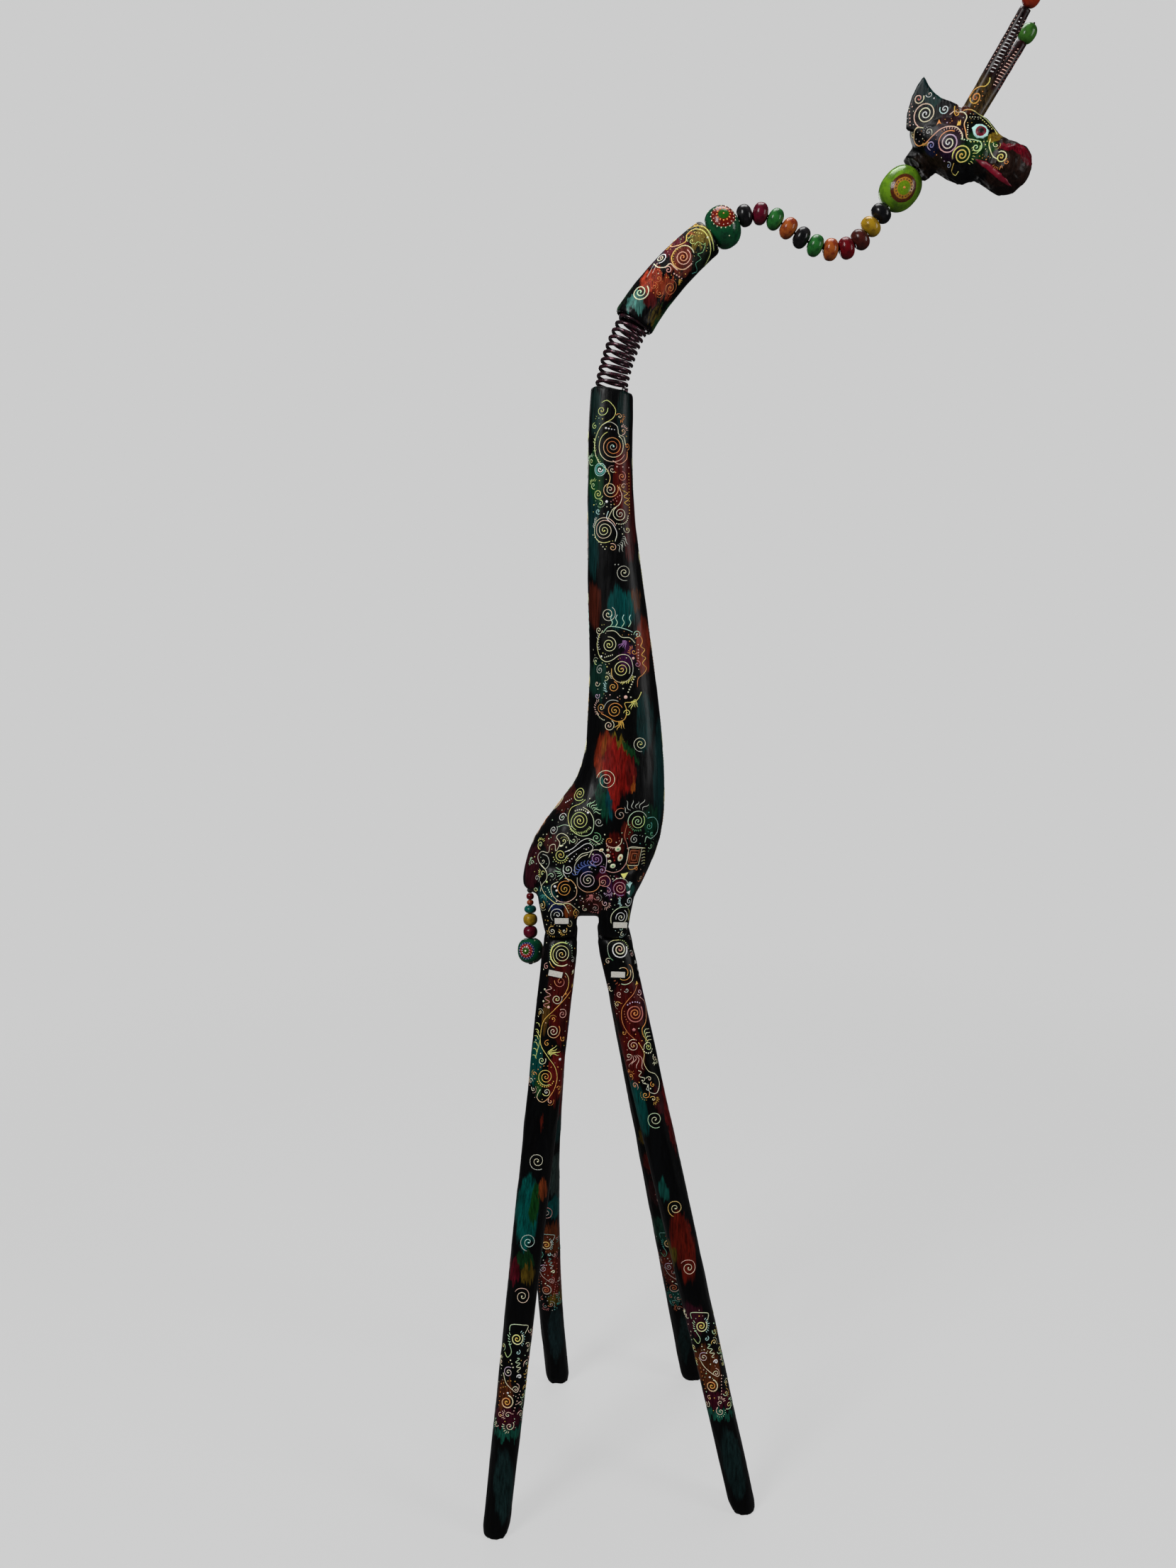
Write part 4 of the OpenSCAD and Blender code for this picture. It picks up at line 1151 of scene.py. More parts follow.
LEG_PATCHES = {
    "hind_right": [
        (-222, 662, 19, 36, 0, (0.080, 0.006, 0.005), 0),
        (-224, 625, 16, 30, 0, (0.085, 0.005, 0.004), 0),
        (-243, 630, 4, 24, 6, (0.13, 0.06, 0.010), 0),
        (-211, 610, 6, 14, 0, (0.010, 0.012, 0.05), 0),
        (-256, 572, 8, 30, 5, (0.002, 0.085, 0.075), 0),
        (-252, 545, 5, 14, 5, (0.015, 0.075, 0.015), 0),
        (-230, 556, 11, 34, 5, (0.18, 0.009, 0.008), 0),
        (-248, 500, 2, 10, 5, (0.09, 0.01, 0.005), 0),
        (-266, 392, 15, 46, 5, (0.0, 0.11, 0.095), 0),
        (-257, 404, 7, 26, 5, (0.006, 0.060, 0.010), 0),
        (-247, 420, 6, 13, 5, (0.24, 0.045, 0.010), 0),
        (-268, 335, 12, 12, 0, (0.006, 0.045, 0.012), 0),
        (-283, 322, 8, 15, 5, (0.11, 0.004, 0.012), 0),
        (-265, 320, 9, 13, 5, (0.14, 0.085, 0.008), 0),
        (-292, 172, 10, 24, 0, (0.13, 0.030, 0.008), 0),
        (-290, 146, 20, 12, 0, (0.060, 0.004, 0.015), 0),
        (-288, 128, 20, 8, 0, (0.010, 0.12, 0.080), 0),
        (-294, 66, 13, 48, 0, (0.010, 0.030, 0.030), 0),
    ],
    "front_right": [
        (-141, 640, 20, 34, -8, (0.085, 0.006, 0.006), 0),
        (-140, 580, 18, 34, -8, (0.095, 0.005, 0.004), 0),
        (-120, 640, 6, 30, -10, (0.045, 0.012, 0.03), 0),
        (-129, 512, 10, 38, -12, (0.002, 0.080, 0.072), 0),
        (-92, 500, 5, 46, -12, (0.12, 0.006, 0.006), 0),
        (-105, 520, 6, 20, -12, (0.045, 0.006, 0.008), 0),
        (-98, 412, 7, 14, -12, (0.006, 0.075, 0.06), 0),
        (-75, 342, 15, 46, -12, (0.16, 0.010, 0.004), 0),
        (-88, 330, 6, 14, -12, (0.13, 0.09, 0.008), 0),
        (-62, 250, 16, 22, -12, (0.05, 0.006, 0.016), 0),
        (-44, 190, 16, 30, -12, (0.13, 0.030, 0.008), 0),
        (-33, 148, 20, 12, 0, (0.065, 0.004, 0.015), 0),
        (-29, 128, 20, 8, 0, (0.010, 0.12, 0.080), 0),
        (-12, 66, 13, 48, -12, (0.010, 0.030, 0.030), 0),
    ],
    "hind_left": [
        (-224, 640, 20, 50, 0, (0.080, 0.006, 0.006), 0),
        (-232, 560, 14, 30, 0, DARK_GREEN, 0),
        (-226, 470, 14, 34, 0, (0.10, 0.006, 0.006), 0),
        (-240, 430, 12, 30, 0, DEEP_TEAL, 0),
        (-232, 350, 18, 36, 0, (0.03, 0.05, 0.045), 0),
        (-236, 300, 12, 18, 0, TEAL, 0),
        (-240, 250, 20, 26, 0, (0.15, 0.035, 0.010), 0),
        (-240, 190, 20, 34, 0, (0.17, 0.016, 0.008), 0),
        (-232, 150, 20, 12, 0, OLIVE, 0),
        (-238, 90, 12, 50, 0, (0.010, 0.026, 0.028), 0),
    ],
    "front_left": [
        (-148, 640, 20, 50, -8, (0.080, 0.006, 0.006), 0),
        (-130, 560, 14, 36, -8, DEEP_TEAL, 0),
        (-118, 470, 12, 34, -8, TEAL, 0),
        (-112, 415, 12, 18, -8, (0.18, 0.11, 0.010), 0),
        (-103, 372, 14, 24, -8, (0.20, 0.018, 0.010), 0),
        (-96, 325, 14, 26, -8, (0.05, 0.012, 0.014), 0),
        (-88, 262, 16, 24, -8, (0.012, 0.08, 0.05), 0),
        (-78, 200, 18, 28, -8, (0.15, 0.02, 0.010), 0),
        (-68, 150, 20, 12, 0, (0.010, 0.10, 0.075), 0),
        (-52, 80, 10, 50, 0, (0.008, 0.022, 0.022), 0),
    ],
}
LEG_CURLS = {
    "hind": ((455, 300, "cream grey"), (358, 260, "aqua grey"), (293, 150, "cream pink")),
    "front": ((500, 300, "cream mint"), (390, 260, "cream gold"), (315, 150, "cream pink")),
}


def leg_x(leg, z):
    """X of a leg's middle at a height."""
    (hx, _), (fx, _) = LEGS[leg]
    share = 1 - z / HIP_Z
    return hx + (fx - hx) * share + 4 * BOW.get(leg, 0) * share * (1 - share)


def leg_lift(z):
    """Height of a mark on a leg: those by the hip are stretched upwards."""
    return z + 0.1 * max(0, z - 560)


LEG_AREAS = [(0, z, 18, 12 + 0.02 * z, "orange pink cream gold") for z in range(546, 702, 26)]
LEG_AREAS += [(0, z, 18, 12 + 0.02 * z, "cream gold mint pink") for z in range(146, 250, 20)]


def hind_leg_marks(c):
    """Below the hind hips: curls, a long winding line, shards and hairs.
    Marks on a leg are (offset from the leg's middle, height)."""
    c.curl(3, 690, 12, 3.4, 250, 1, "gold cream yellow")
    c.arc(3, 690, 14.5, 60, 300, "lime yellow cream", half=0.8)
    c.fringe(3, 690, 15, 130, 200, 8, 2.8, "mint", wave=0.04)
    c.fringe(3, 690, 15, -10, 70, 8, 2.8, "mint", wave=0.04)
    c.path([(-11, 682), (-6, 676), (6, 672), (14, 664), (15, 652), (9, 642)], "cream gold orange")
    c.curl(-14, 676, 4.2, 1.8, 80, -1, "rose pink")
    c.curl(17, 682, 4.2, 1.8, 120, 1, "grey")
    c.curl(5, 660, 9, 1.9, 30, -1, "rust rose orange")
    c.curl(3, 641, 6.8, 2.8, 30, 1, "yellow cream grey")
    c.serpent((-8, 655), (-9, 632), 3.5, 3, "pink rose")
    c.dot(-6, 632, 1.9, "pink")
    c.dot(-13, 651, 1.4, "cream")
    c.dot(-13, 638, 1.4, "cream")
    c.dot(13, 646, 1.6, "orange")
    c.shape(19, 668, [(-2.5, 2), (2, 3), (2.5, -1), (-1, -3)], "cream")
    c.shape(20, 652, [(-3, -2), (1, 3), (2, -1)], "gold")
    c.path([(19, 648), (12, 640), (0, 628), (-10, 617), (-12, 602), (-10, 590), (0, 578), (10, 566),
            (14, 552), (10, 536), (0, 526), (-8, 531), (-5, 541)], "orange gold yellow orange cream")
    c.curl(12, 624, 6.6, 2.2, 120, 1, "rose pink")
    c.curl(3, 606, 9.4, 2.8, 40, 1, "pink cream orange")
    c.fringe(0, 578, 3, 20, 75, 6, 15, "yellow", wave=0.12, lean=-0.15)
    c.dot(15, 574, 1.8, "white")
    for step in range(6):
        z = 612 - step * 7
        c.path([(-19, z), (-16, z + 1), (-14, z - 2)], "lime yellow")
    c.path([(-17, 604), (-12, 598), (-13, 588), (-15, 576)], "yellow lime")
    c.curl(-7, 574, 5.4, 2.1, 30, 1, "lime cream")
    c.curl(0, 556, 10.5, 3.1, 300, 1, "orange gold yellow")
    c.dots(0, 556, 12, 210, 330, 10, 0.9, "gold")
    c.dots(0, 556, 13.5, 60, 140, 5, 0.8, "orange")
    c.curl(3, 538, 5.4, 1.9, 200, -1, "white yellow")
    for z in (700, 672, 646, 620, 594, 568):
        c.dot(-17, z, 0.9, "cream")
        c.dot(18, z - 6, 0.9, "gold")


def lower_leg_marks(c, leg):
    """Single curls down the shin and a dense band above the foot."""
    for z, start, names in LEG_CURLS[leg.split("_")[0]]:
        c.curl(1, z, 11, 2, start, 1, names, half=0.4)
    c.path([(-10, 250), (-9, 258), (3, 259), (12, 256), (9, 248)], "mint cream")
    c.curl(0, 242, 8, 3, 40, 1, "gold yellow cream", half=0.75)
    c.fringe(0, 242, 8.8, -50, 60, 8, 3, "aqua", wave=0.05)
    c.fringe(0, 242, 8.8, 150, 220, 5, 4.5, "mint")
    c.path([(-9, 236), (-5, 226), (-9, 219), (-13, 224)], "mint lime")
    c.curl(3, 226, 3.2, 1.7, 60, 1, "aqua")
    c.serpent((3, 219), (7, 202), 2.6, 3, "mint cream")
    c.row((-5, 216), (-1, 208), 3, 1.0, "cream")
    c.curl(-6, 202, 6.5, 2.4, 60, -1, "cream lilac")
    c.path([(-12, 200), (-8, 190), (0, 182), (7, 178), (9, 185), (5, 189)], "cream pink")
    c.curl(8, 196, 3.2, 1.5, 180, 1, "white", half=0.9)
    c.curl(5, 182, 4, 1.8, 200, 1, "pink cream")
    c.curl(-4, 166, 8.5, 2.9, 80, 1, "gold orange cream", half=0.75)
    c.curl(-10, 150, 3.4, 1.6, 80, -1, "gold pink")
    c.dot(-4, 177, 1.4, "white")
    c.row((11, 178), (5, 152), 8, 0.8, "pink")
    c.row((-13, 186), (-13, 160), 6, 0.8, "orange")


def front_leg_marks(c):
    """Below the front hips: rings, shards, a large red curl and trailing hairs."""
    c.curl(5, 695, 11, 2.9, 20, 1, "rose cream white", half=0.8)
    c.arc(3, 694, 14.5, 80, 240, "yellow grey green")
    c.fringe(4, 694, 14, 10, 100, 9, 3, "lime", wave=0.04)
    c.curl(18, 688, 4.8, 2, 120, 1, "rose grey")
    c.curl(3, 669, 10, 3, 20, 1, "gold orange cream")
    c.arc(4, 668, 13, 250, 420, "mint cream orange")
    c.fringe(2, 668, 13, 170, 250, 6, 4.5, "rust")
    for a, b, tone in ((20, 678, "grey"), (22, 670, "white"), (22, 662, "white")):
        c.shape(a, b, [(-3, -2.4), (-0.6, 2.8), (0.4, 2.6), (2.6, -2)], tone)
    c.shape(16, 656, [(-3.4, -2), (1, 3), (3.4, -1.6)], "gold")
    c.path([(16, 654), (10, 646), (0, 638), (-9, 628), (-12, 614), (-8, 602), (0, 594)], "rust orange rust")
    c.curl(-8, 645, 4, 1.7, 300, 1, "pink")
    c.curl(2, 650, 3.2, 1.5, 200, -1, "grey")
    c.curl(17, 646, 4.6, 1.6, 200, -1, "lilac pink")
    c.path([(16, 641), (20, 634), (19, 620), (15, 611), (10, 606), (10, 598), (14, 592)], "pink orange gold")
    c.curl(6, 624, 12, 3.1, 40, 1, "orange rust rose", half=0.8)
    c.dots(6, 624, 14, 60, 130, 6, 1.0, "lilac")
    c.dots(6, 624, 14, 170, 240, 6, 0.8, "rust")
    c.dot(0, 606, 2.2, "rose")
    for step in range(4):
        z = 606 - step * 4
        c.path([(11, z - 6), (14, z - 1), (19, z - 2)], "lime cream")
    c.curl(-5, 588, 8, 2.8, 60, -1, "gold pink cream")
    c.curl(13, 586, 6.4, 2.5, 200, 1, "yellow lime cream")
    c.dots(13, 586, 8, 200, 330, 7, 1.0, "cream")
    c.fringe(-5, 584, 8, 240, 300, 5, 20, "pink", wave=0.14)
    c.path([(2, 592), (6, 580), (3, 570), (6, 560), (14, 554), (16, 542), (10, 532), (2, 534), (2, 541)],
           "gold cream grey")
    c.serpent((-6, 560), (2, 536), 2.8, 3, "cream grey")
    c.row((-4, 548), (4, 538), 4, 1.0, "cream")


# The far legs' marks take duller, darker colours, as painted shade.
FAR_LEG_SHADE = {
    "yellow": "gold", "cream": "grey", "white": "cream", "lime": "green", "pink": "rose", "mint": "teal",
    "gold": "rust", "orange": "rust",
}
dowel_material = bare_wood("dowel_wood")
for index, leg in enumerate(LEGS):
    direction = hip_point(leg, 100) - hip_point(leg)
    # The bore round the glued end of the dowel is filled.
    plug = bar(hip_point(leg, 3), hip_point(leg, DOWEL_DEPTH + 2), PLUG_R)
    piece = from_cad(f"leg_{leg}_wood", f"leg_{leg}", voxel_mm=2.2, rounds=5, plugs=[plug])
    chipped(piece, cell_mm=(13, 75), depth_mm=0.7, seed=11 + index, along=direction)
    material = painted_wood(f"leg_{leg}_painted_wood", LEG_PATCHES[leg])
    give(piece, material, f"leg_{leg}", "carved_leg", f"leg_{leg}")
    canvas = Canvas(piece)
    front = leg.startswith("front")
    near = leg.endswith("right")
    canvas.warp = lambda a, b, leg=leg: (a + leg_x(leg, leg_lift(b)), leg_lift(b))
    for side, swap, seed in ((RIGHT_SIDE, {}, 7 + index), (LEFT_SIDE, SWAPPED, 17 + index)):
        # The far legs take the darker colours: painted shade.
        canvas.face(side, swap if near else {**swap, **FAR_LEG_SHADE})
        (front_leg_marks if front else hind_leg_marks)(canvas)
        lower_leg_marks(canvas, leg)
        canvas.fill(LEG_AREAS, seed, tries=1500, largest=5.5, specks=0.25)
    canvas.finish(f"leg_{leg}_paint_lines", f"leg_{leg}", "carved_leg")
    NODES[f"dowel_{leg}"].data.materials.clear()
    NODES[f"dowel_{leg}"].data.materials.append(dowel_material)

# ---- Upper neck ----

UPPER_PATCHES = [
    (-136, 1468, 13, 12, 0, (0.081, 0.270, 0.230), -1),
    (-150, 1482, 5, 30, 32, (0.022, 0.061, 0.030), 0),
    (-120, 1494, 14, 17, 20, (0.567, 0.061, 0.024), -1),
    (-104, 1484, 12, 14, 20, (0.405, 0.054, 0.019), -1),
    (-120, 1470, 9, 10, 20, (0.135, 0.011, 0.011), -1),
    (-112, 1452, 8, 15, 30, (0.176, 0.115, 0.014), -1),
    (-102, 1455, 8, 22, 40, (0.014, 0.081, 0.027), 0),
    (-96, 1533, 22, 16, 40, (0.162, 0.014, 0.027), 0),
    (-84, 1512, 16, 16, 30, (0.243, 0.041, 0.024), -1),
    (-62, 1540, 13, 16, 40, (0.297, 0.203, 0.041), -1),
    (-62, 1518, 8, 16, 40, (0.016, 0.027, 0.016), 0),
    (-112, 1520, 8, 12, 30, (0.068, 0.041, 0.068), 0),
    (-120, 1490, 18, 20, 20, (0.014, 0.135, 0.108), 1),
    (-90, 1515, 18, 20, 30, (0.378, 0.047, 0.019), 1),
    (-62, 1535, 13, 18, 40, (0.068, 0.027, 0.108), 1),
]
UPPER_AREAS = [
    (-96, 1516, 26, 24, "pink gold cream"),
    (-70, 1538, 22, 20, "yellow lime gold"),
    (-106, 1490, 18, 16, "orange rust"),
]


def upper_neck_marks(c):
    """Curls, winding lines, rows and hairs over the upper neck."""
    c.curl(-132, 1479, 10.5, 2.2, 40, 1, "mint cream", half=0.8)
    c.curl(-83, 1517, 9.5, 3.4, 60, 1, "orange pink", half=0.7)
    c.arc(-83, 1517, 13.5, 20, 330, "cream gold pink", half=0.8)
    c.dots(-83, 1517, 11.6, 110, 220, 8, 0.7, "gold")
    c.curl(-108, 1518, 7.5, 2, 270, -1, "pink cream white", half=0.8)
    c.curl(-100, 1503, 4.6, 1.9, 150, 1, "rose pink", half=0.7)
    c.path([(-116, 1512), (-112, 1507), (-104, 1506), (-98, 1510), (-93, 1506), (-88, 1502)],
           "cream pink", half=0.8)
    c.curl(-97, 1484, 9, 2.8, 100, 1, "orange rust")
    c.row((-93, 1499), (-84, 1495), 4, 1.1, "pink")
    c.fringe(-88, 1492, 1, -60, 40, 6, 5, "gold")
    c.curl(-92, 1540, 4, 1.7, 200, 1, "gold cream", half=0.9)
    c.path([(-98, 1535), (-96, 1531), (-88, 1531), (-80, 1535), (-78, 1544), (-70, 1549), (-60, 1546),
            (-53, 1536), (-51, 1524), (-56, 1514)], "pink gold yellow lime", half=0.8)
    c.path([(-76, 1552), (-66, 1553), (-56, 1548), (-50, 1538), (-47, 1527)], "gold yellow lime", half=0.7)
    c.path([(-70, 1530), (-66, 1534), (-60, 1531), (-57, 1534), (-60, 1524), (-66, 1521), (-62, 1517),
            (-68, 1512), (-66, 1506), (-72, 1502)], "lime green teal")
    c.fringe(-96, 1528, 5, 110, 170, 5, 5, "gold")
    c.fringe(-84, 1551, 2, 20, 110, 6, 6, "rust")
    c.curl(-68, 1556, 3.6, 1.6, 0, 1, "gold")
    c.row((-84, 1546), (-80, 1552), 4, 0.9, "gold")
    c.row((-70, 1545), (-62, 1543), 4, 0.8, "yellow")
    c.dot(-55, 1539, 1.5, "cream")
    c.row((-52, 1554), (-42, 1530), 9, 0.8, "lime")
    c.path([(-118, 1500), (-112, 1512)], "pink")
    c.path([(-124, 1496), (-116, 1511)], "grey")


upper_piece = from_cad("upper_neck_wood", "upper_neck", voxel_mm=1.5, rounds=4)
chipped(upper_piece, cell_mm=(13, 50), depth_mm=0.45, seed=21, along=(0.68, 0, 0.73))
upper_material = painted_wood("upper_neck_painted_wood", UPPER_PATCHES)
give(upper_piece, upper_material, "upper_neck", "carved_neck", "upper_neck")
upper_canvas = Canvas(upper_piece)
for side, swap in ((RIGHT_SIDE, {}), (LEFT_SIDE, SWAPPED)):
    upper_canvas.face(side, swap)
    upper_neck_marks(upper_canvas)
    upper_canvas.fill(UPPER_AREAS, seed=25, tries=1500, largest=4.5)
upper_canvas.finish("upper_neck_paint_lines", "upper_neck", "carved_neck")

# ---- Head ----

HEAD_AT = Vector((0.186, 0, 1.6195))
HEAD_TURN = 25
turned = Matrix.Rotation(math.radians(-HEAD_TURN), 3, "Z")
HEAD_X, HEAD_Y = turned @ X_AXIS, turned @ Y_AXIS
# Root in the head's own frame, direction and length of each horn.
HORNS = {
    "right": ((60, -16, 48), (0.531, -0.152, 0.834), 105),
    "left": ((58, 14, 48), (0.519, 0.146, 0.843), 93.5),
}
HORN_DEPTH = 14
HORN_PLUG_R = 9.4


def in_head(x, y, z):
    """The place of a point that is given in millimetres in the head's own frame."""
    return HEAD_AT + (HEAD_X * x + HEAD_Y * y + Z_AXIS * z) * MM


def on_horn(side, along_mm):
    """A point on a horn's axis, some way out from its root."""
    start, direction, _ = HORNS[side]
    return in_head(*(Vector(start) + Vector(direction).normalized() * along_mm))


horn_plugs = [bar(on_horn(side, -HORN_DEPTH - 1), on_horn(side, 1.5), HORN_PLUG_R) for side in HORNS]
head_piece = from_cad("head_wood", "head", voxel_mm=1.35, rounds=5, plugs=horn_plugs)


def muzzle_or_stub(p):
    """Deeper tool marks on the muzzle, the jaw and the stub than on the cheeks."""
    local = turned.transposed() @ (p - HEAD_AT / MM)
    muzzle = min(1.0, max(0.0, (local.x - 66) / 16))
    stub = min(1.0, max(0.0, (10 - local.z) / 14))
    ear = min(1.0, max(0.0, (local.z - 50) / 8))
    return (0.25 + 0.75 * max(muzzle, stub)) * (1 - 0.9 * ear)


chipped(head_piece, cell_mm=(12, 12), depth_mm=1.0, seed=31, along=(1, 0, 0), where=muzzle_or_stub)

HEAD_PATCHES = [
    (14, -12, 30, 22, 0, (0.022, 0.013, 0.009), 0),
    (52, -18, 26, 9, -10, (0.008, 0.008, 0.009), 0),
    (104, -12, 26, 30, 0, (0.030, 0.013, 0.009), 0),
    (96, -34, 22, 14, 0, (0.018, 0.008, 0.006), 0),
    (78, -12, 14, 8, -40, (0.010, 0.007, 0.006), 0),
    (72, 6, 15, 16, 0, (0.010, 0.060, 0.012), 0),
    (60, 0, 12, 10, 0, (0.008, 0.045, 0.012), 0),
    (84, 4, 8, 8, 0, (0.012, 0.075, 0.014), 0),
    (89, 15, 9, 6, -40, (0.30, 0.18, 0.014), 0),
    (40, 22, 16, 14, 0, (0.035, 0.012, 0.026), 0),
    (44, 38, 14, 10, 0, (0.045, 0.016, 0.022), 0),
    (42, 6, 12, 12, 0, (0.024, 0.008, 0.030), 0),
    (22, 12, 9, 9, 0, (0.008, 0.010, 0.035), 0),
    (10, 74, 12, 16, 0, (0.004, 0.022, 0.024), 0),
    (22, 62, 10, 10, -40, (0.006, 0.045, 0.040), 0),
    (56, 48, 9, 8, 0, (0.12, 0.026, 0.012), 0),
    (102, 1, 10, 4.5, 6, (0.20, 0.003, 0.014), 0),
    (115, -2, 9, 5.5, 32, (0.21, 0.003, 0.014), 0),
    (122, -10, 5, 8, 0, (0.18, 0.003, 0.012), 0),
]
head_material = painted_wood(
    "head_painted_wood", HEAD_PATCHES, tuple(HEAD_AT), (0, 0, math.radians(HEAD_TURN)), (5, 5, 7)
)
give(head_piece, head_material, "head", "carved_head", "head")

EYE_AT = (73.6, 20.8)
EYE_OUTLINE = [
    (-10.8, 4), (-6, 8.6), (1, 9.6), (7.2, 7.2), (10, 1), (8.6, -6), (3, -9.4), (-4.2, -8.4), (-8.4, -4),
]
EYE_DISCS = ((7.4, "crimson", 1.3), (6.068, "wine", 1.6), (3.9, "black", 2.0))
HEAD_AREAS = [
    (10, 44, 17, 26, "white cream pink"),
    (30, 30, 24, 22, "cream orange pink gold"),
    (42, 16, 22, 22, "cream lilac orange"),
    (62, 4, 18, 16, "yellow mint gold"),
    (80, 2, 12, 12, "yellow cream orange"),
    (60, 36, 14, 12, "orange gold cream"),
]


def head_marks(c):
    """Curls, winding lines, hairs and shards round the eye, and the mouth's line."""
    c.claim(*EYE_AT, 12)
    c.curl(13.7, 46.9, 12, 3, 250, 1, "white cream pink", half=0.75, flare=0.2)
    c.path([(12, 33), (4, 34), (0, 26), (5, 18), (14, 17), (22, 22), (30, 27), (38, 29), (48, 27), (54, 20),
            (55, 13)], "cream orange pink cream", half=0.75)
    c.curl(-1, 30.6, 4.5, 1.7, 40, -1, "gold cream", half=0.7)
    c.fringe(14, 22, 5, 230, 300, 6, 4, "gold", wave=0.05)
    c.row((-4, 52), (-3, 38), 5, 0.9, "pink")
    c.curl(6, 63.6, 6, 2, 20, 1, "red pink cream", half=0.7)
    c.curl(34.4, 48.4, 5.6, 2, 150, -1, "white aqua", half=0.7)
    c.shape(28.8, 35.2, [(-3, -3), (0, 4.5), (3.4, -2.6), (0.2, -1)], "orange")
    c.shape(50.3, 32.2, [(-2.6, -4), (-0.6, 3), (0.6, -1), (2.4, 3.6), (2, -4)], "gold")
    c.path([(40, 42), (46, 45), (54, 44), (58, 38), (56, 30), (58, 22), (60, 14), (66, 12), (74, 9), (75, 2),
            (70, -2)], "pink cream orange mint lime", half=0.7)
    c.curl(40.2, 12.1, 12.6, 2.8, 60, -1, "white cream lilac orange", half=0.8)
    c.fringe(40.2, 12.1, 14, 20, 110, 9, 3.2, "pink", wave=0.05)
    c.curl(20.9, 13.4, 5.2, 1.8, 250, 1, "blue lilac", half=0.75)
    c.curl(54.7, -2, 10.4, 3, 200, 1, "gold yellow", half=0.8)
    c.fringe(54.7, -2, 11.4, -50, 30, 7, 4.4, "yellow", wave=0.06)
    c.path([(46, -8), (43, -14), (47, -18), (51, -15)], "gold yellow")
    c.curl(40, -9, 4, 1.4, 90, 1, "blue grey")
    c.curl(69.6, 3.9, 4.8, 1.9, 20, 1, "mint lime", half=0.7)
    c.row((54, 14), (63, 11), 4, 0.9, "mint")
    c.curl(47, 45, 6.6, 2.3, 80, -1, "orange gold", half=0.7)
    c.path([(54, 46), (62, 45), (72, 41), (80, 33), (86, 25), (90, 18)], "orange lime yellow", half=0.7)
    c.row((61, 38), (69, 38), 4, 0.8, "cream")
    c.row((72, 37), (84, 24), 7, 0.9, "yellow")
    c.row((60, 28), (60, 18), 5, 0.8, "cream")
    c.row((64, 10), (84, 9), 7, 0.8, "yellow")
    c.shape(*EYE_AT, EYE_OUTLINE, "aqua", 0.9)
    for r, colour, height in EYE_DISCS:
        c.shape(*EYE_AT, [(r * p, r * q) for p, q in circle(24)], colour, height)
    c.path([(84, 12), (83, 5), (85, -2), (88, -8), (93, -12)], "yellow cream", half=0.7)
    c.curl(96.4, -10.2, 6.8, 2.4, 120, 1, "gold yellow cream", half=0.75)
    c.curl(103, -16, 3.6, 1.7, 90, -1, "orange")
    c.fringe(95, -12, 7.4, 220, 290, 6, 4, "orange", wave=0.05)
    c.path([(68.8, -7.5), (75, -11), (82.3, -16.8), (88.5, -22.5), (94.8, -28.5), (102.6, -34.8), (107, -37)],
           "wine crimson wine", half=3.6, height=0.7, taper=0.9)


head_canvas = Canvas(head_piece)
for look in (HEAD_Y, -HEAD_Y):
    head_canvas.face((HEAD_AT, HEAD_X, Z_AXIS, look))
    head_marks(head_canvas)
    head_canvas.fill(HEAD_AREAS, seed=33, tries=2600, largest=4.5)
head_canvas.finish("head_paint_lines", "head", "carved_head")

# ---- Horns ----

HORN_R_LOW, HORN_R_HIGH = 8.7, 6.2
HORN_MARKS_FROM, HORN_MARK_STEP = 40, 3.6
HORN_COLUMNS = ((0, True), (52, False), (-52, False), (180, True), (128, False), (-128, False))
HORN_BEAD_R, HORN_BEAD_HALF, HORN_BEAD_BORE = 9.4, 10.6, 1.45
PIN_R, PIN_TIP_R, PIN_OUT = 1.35, 0.8, 2.4
HORN_COLOURS = {"right": ("pink", "white"), "left": ("rose", "pink")}


def horn_wood(name, side):
    """Dark wood, with ochre grain over the horn's lower part."""
    n = Nodes(name)
    start, direction, _ = HORNS[side]
    place = n.vector("SCALE", n.place(tuple(HEAD_AT), (0, 0, math.radians(HEAD_TURN))), 1 / MM)
    along = tuple(Vector(direction).normalized())
    height = n.vector("DOT_PRODUCT", n.vector("SUBTRACT", place, start), along)
    grain = n.noise(n.vector("MULTIPLY", place, (1, 1, 0.3)), 0.5, 4, 0.65)
    split = n.ramp(n.math("ADD", height, n.math("MULTIPLY", grain, 22.0)), 40, 50, smooth=True)
    base = n.mix(n.ramp(grain, 0.38, 0.62), (0.009, 0.006, 0.004), (0.105, 0.062, 0.018))
    upper = n.mix(n.ramp(grain, 0.4, 0.7), (0.004, 0.002, 0.002), (0.032, 0.005, 0.006))
    return n.surface(
        n.mix(split, base, upper), n.ramp(grain, 0.3, 0.7, 0.25, 0.42), grain, distance=0.0006, strength=0.6,
        Coat_Weight=0.1, Coat_Roughness=0.14, Specular_IOR_Level=0.15,
    )


def horn_radius(side, height):
    """Radius in millimetres at a height above the horn's root."""
    share = max(0.0, (height - 4) / (HORNS[side][2] - 4))
    return HORN_R_LOW + (HORN_R_HIGH - HORN_R_LOW) * share


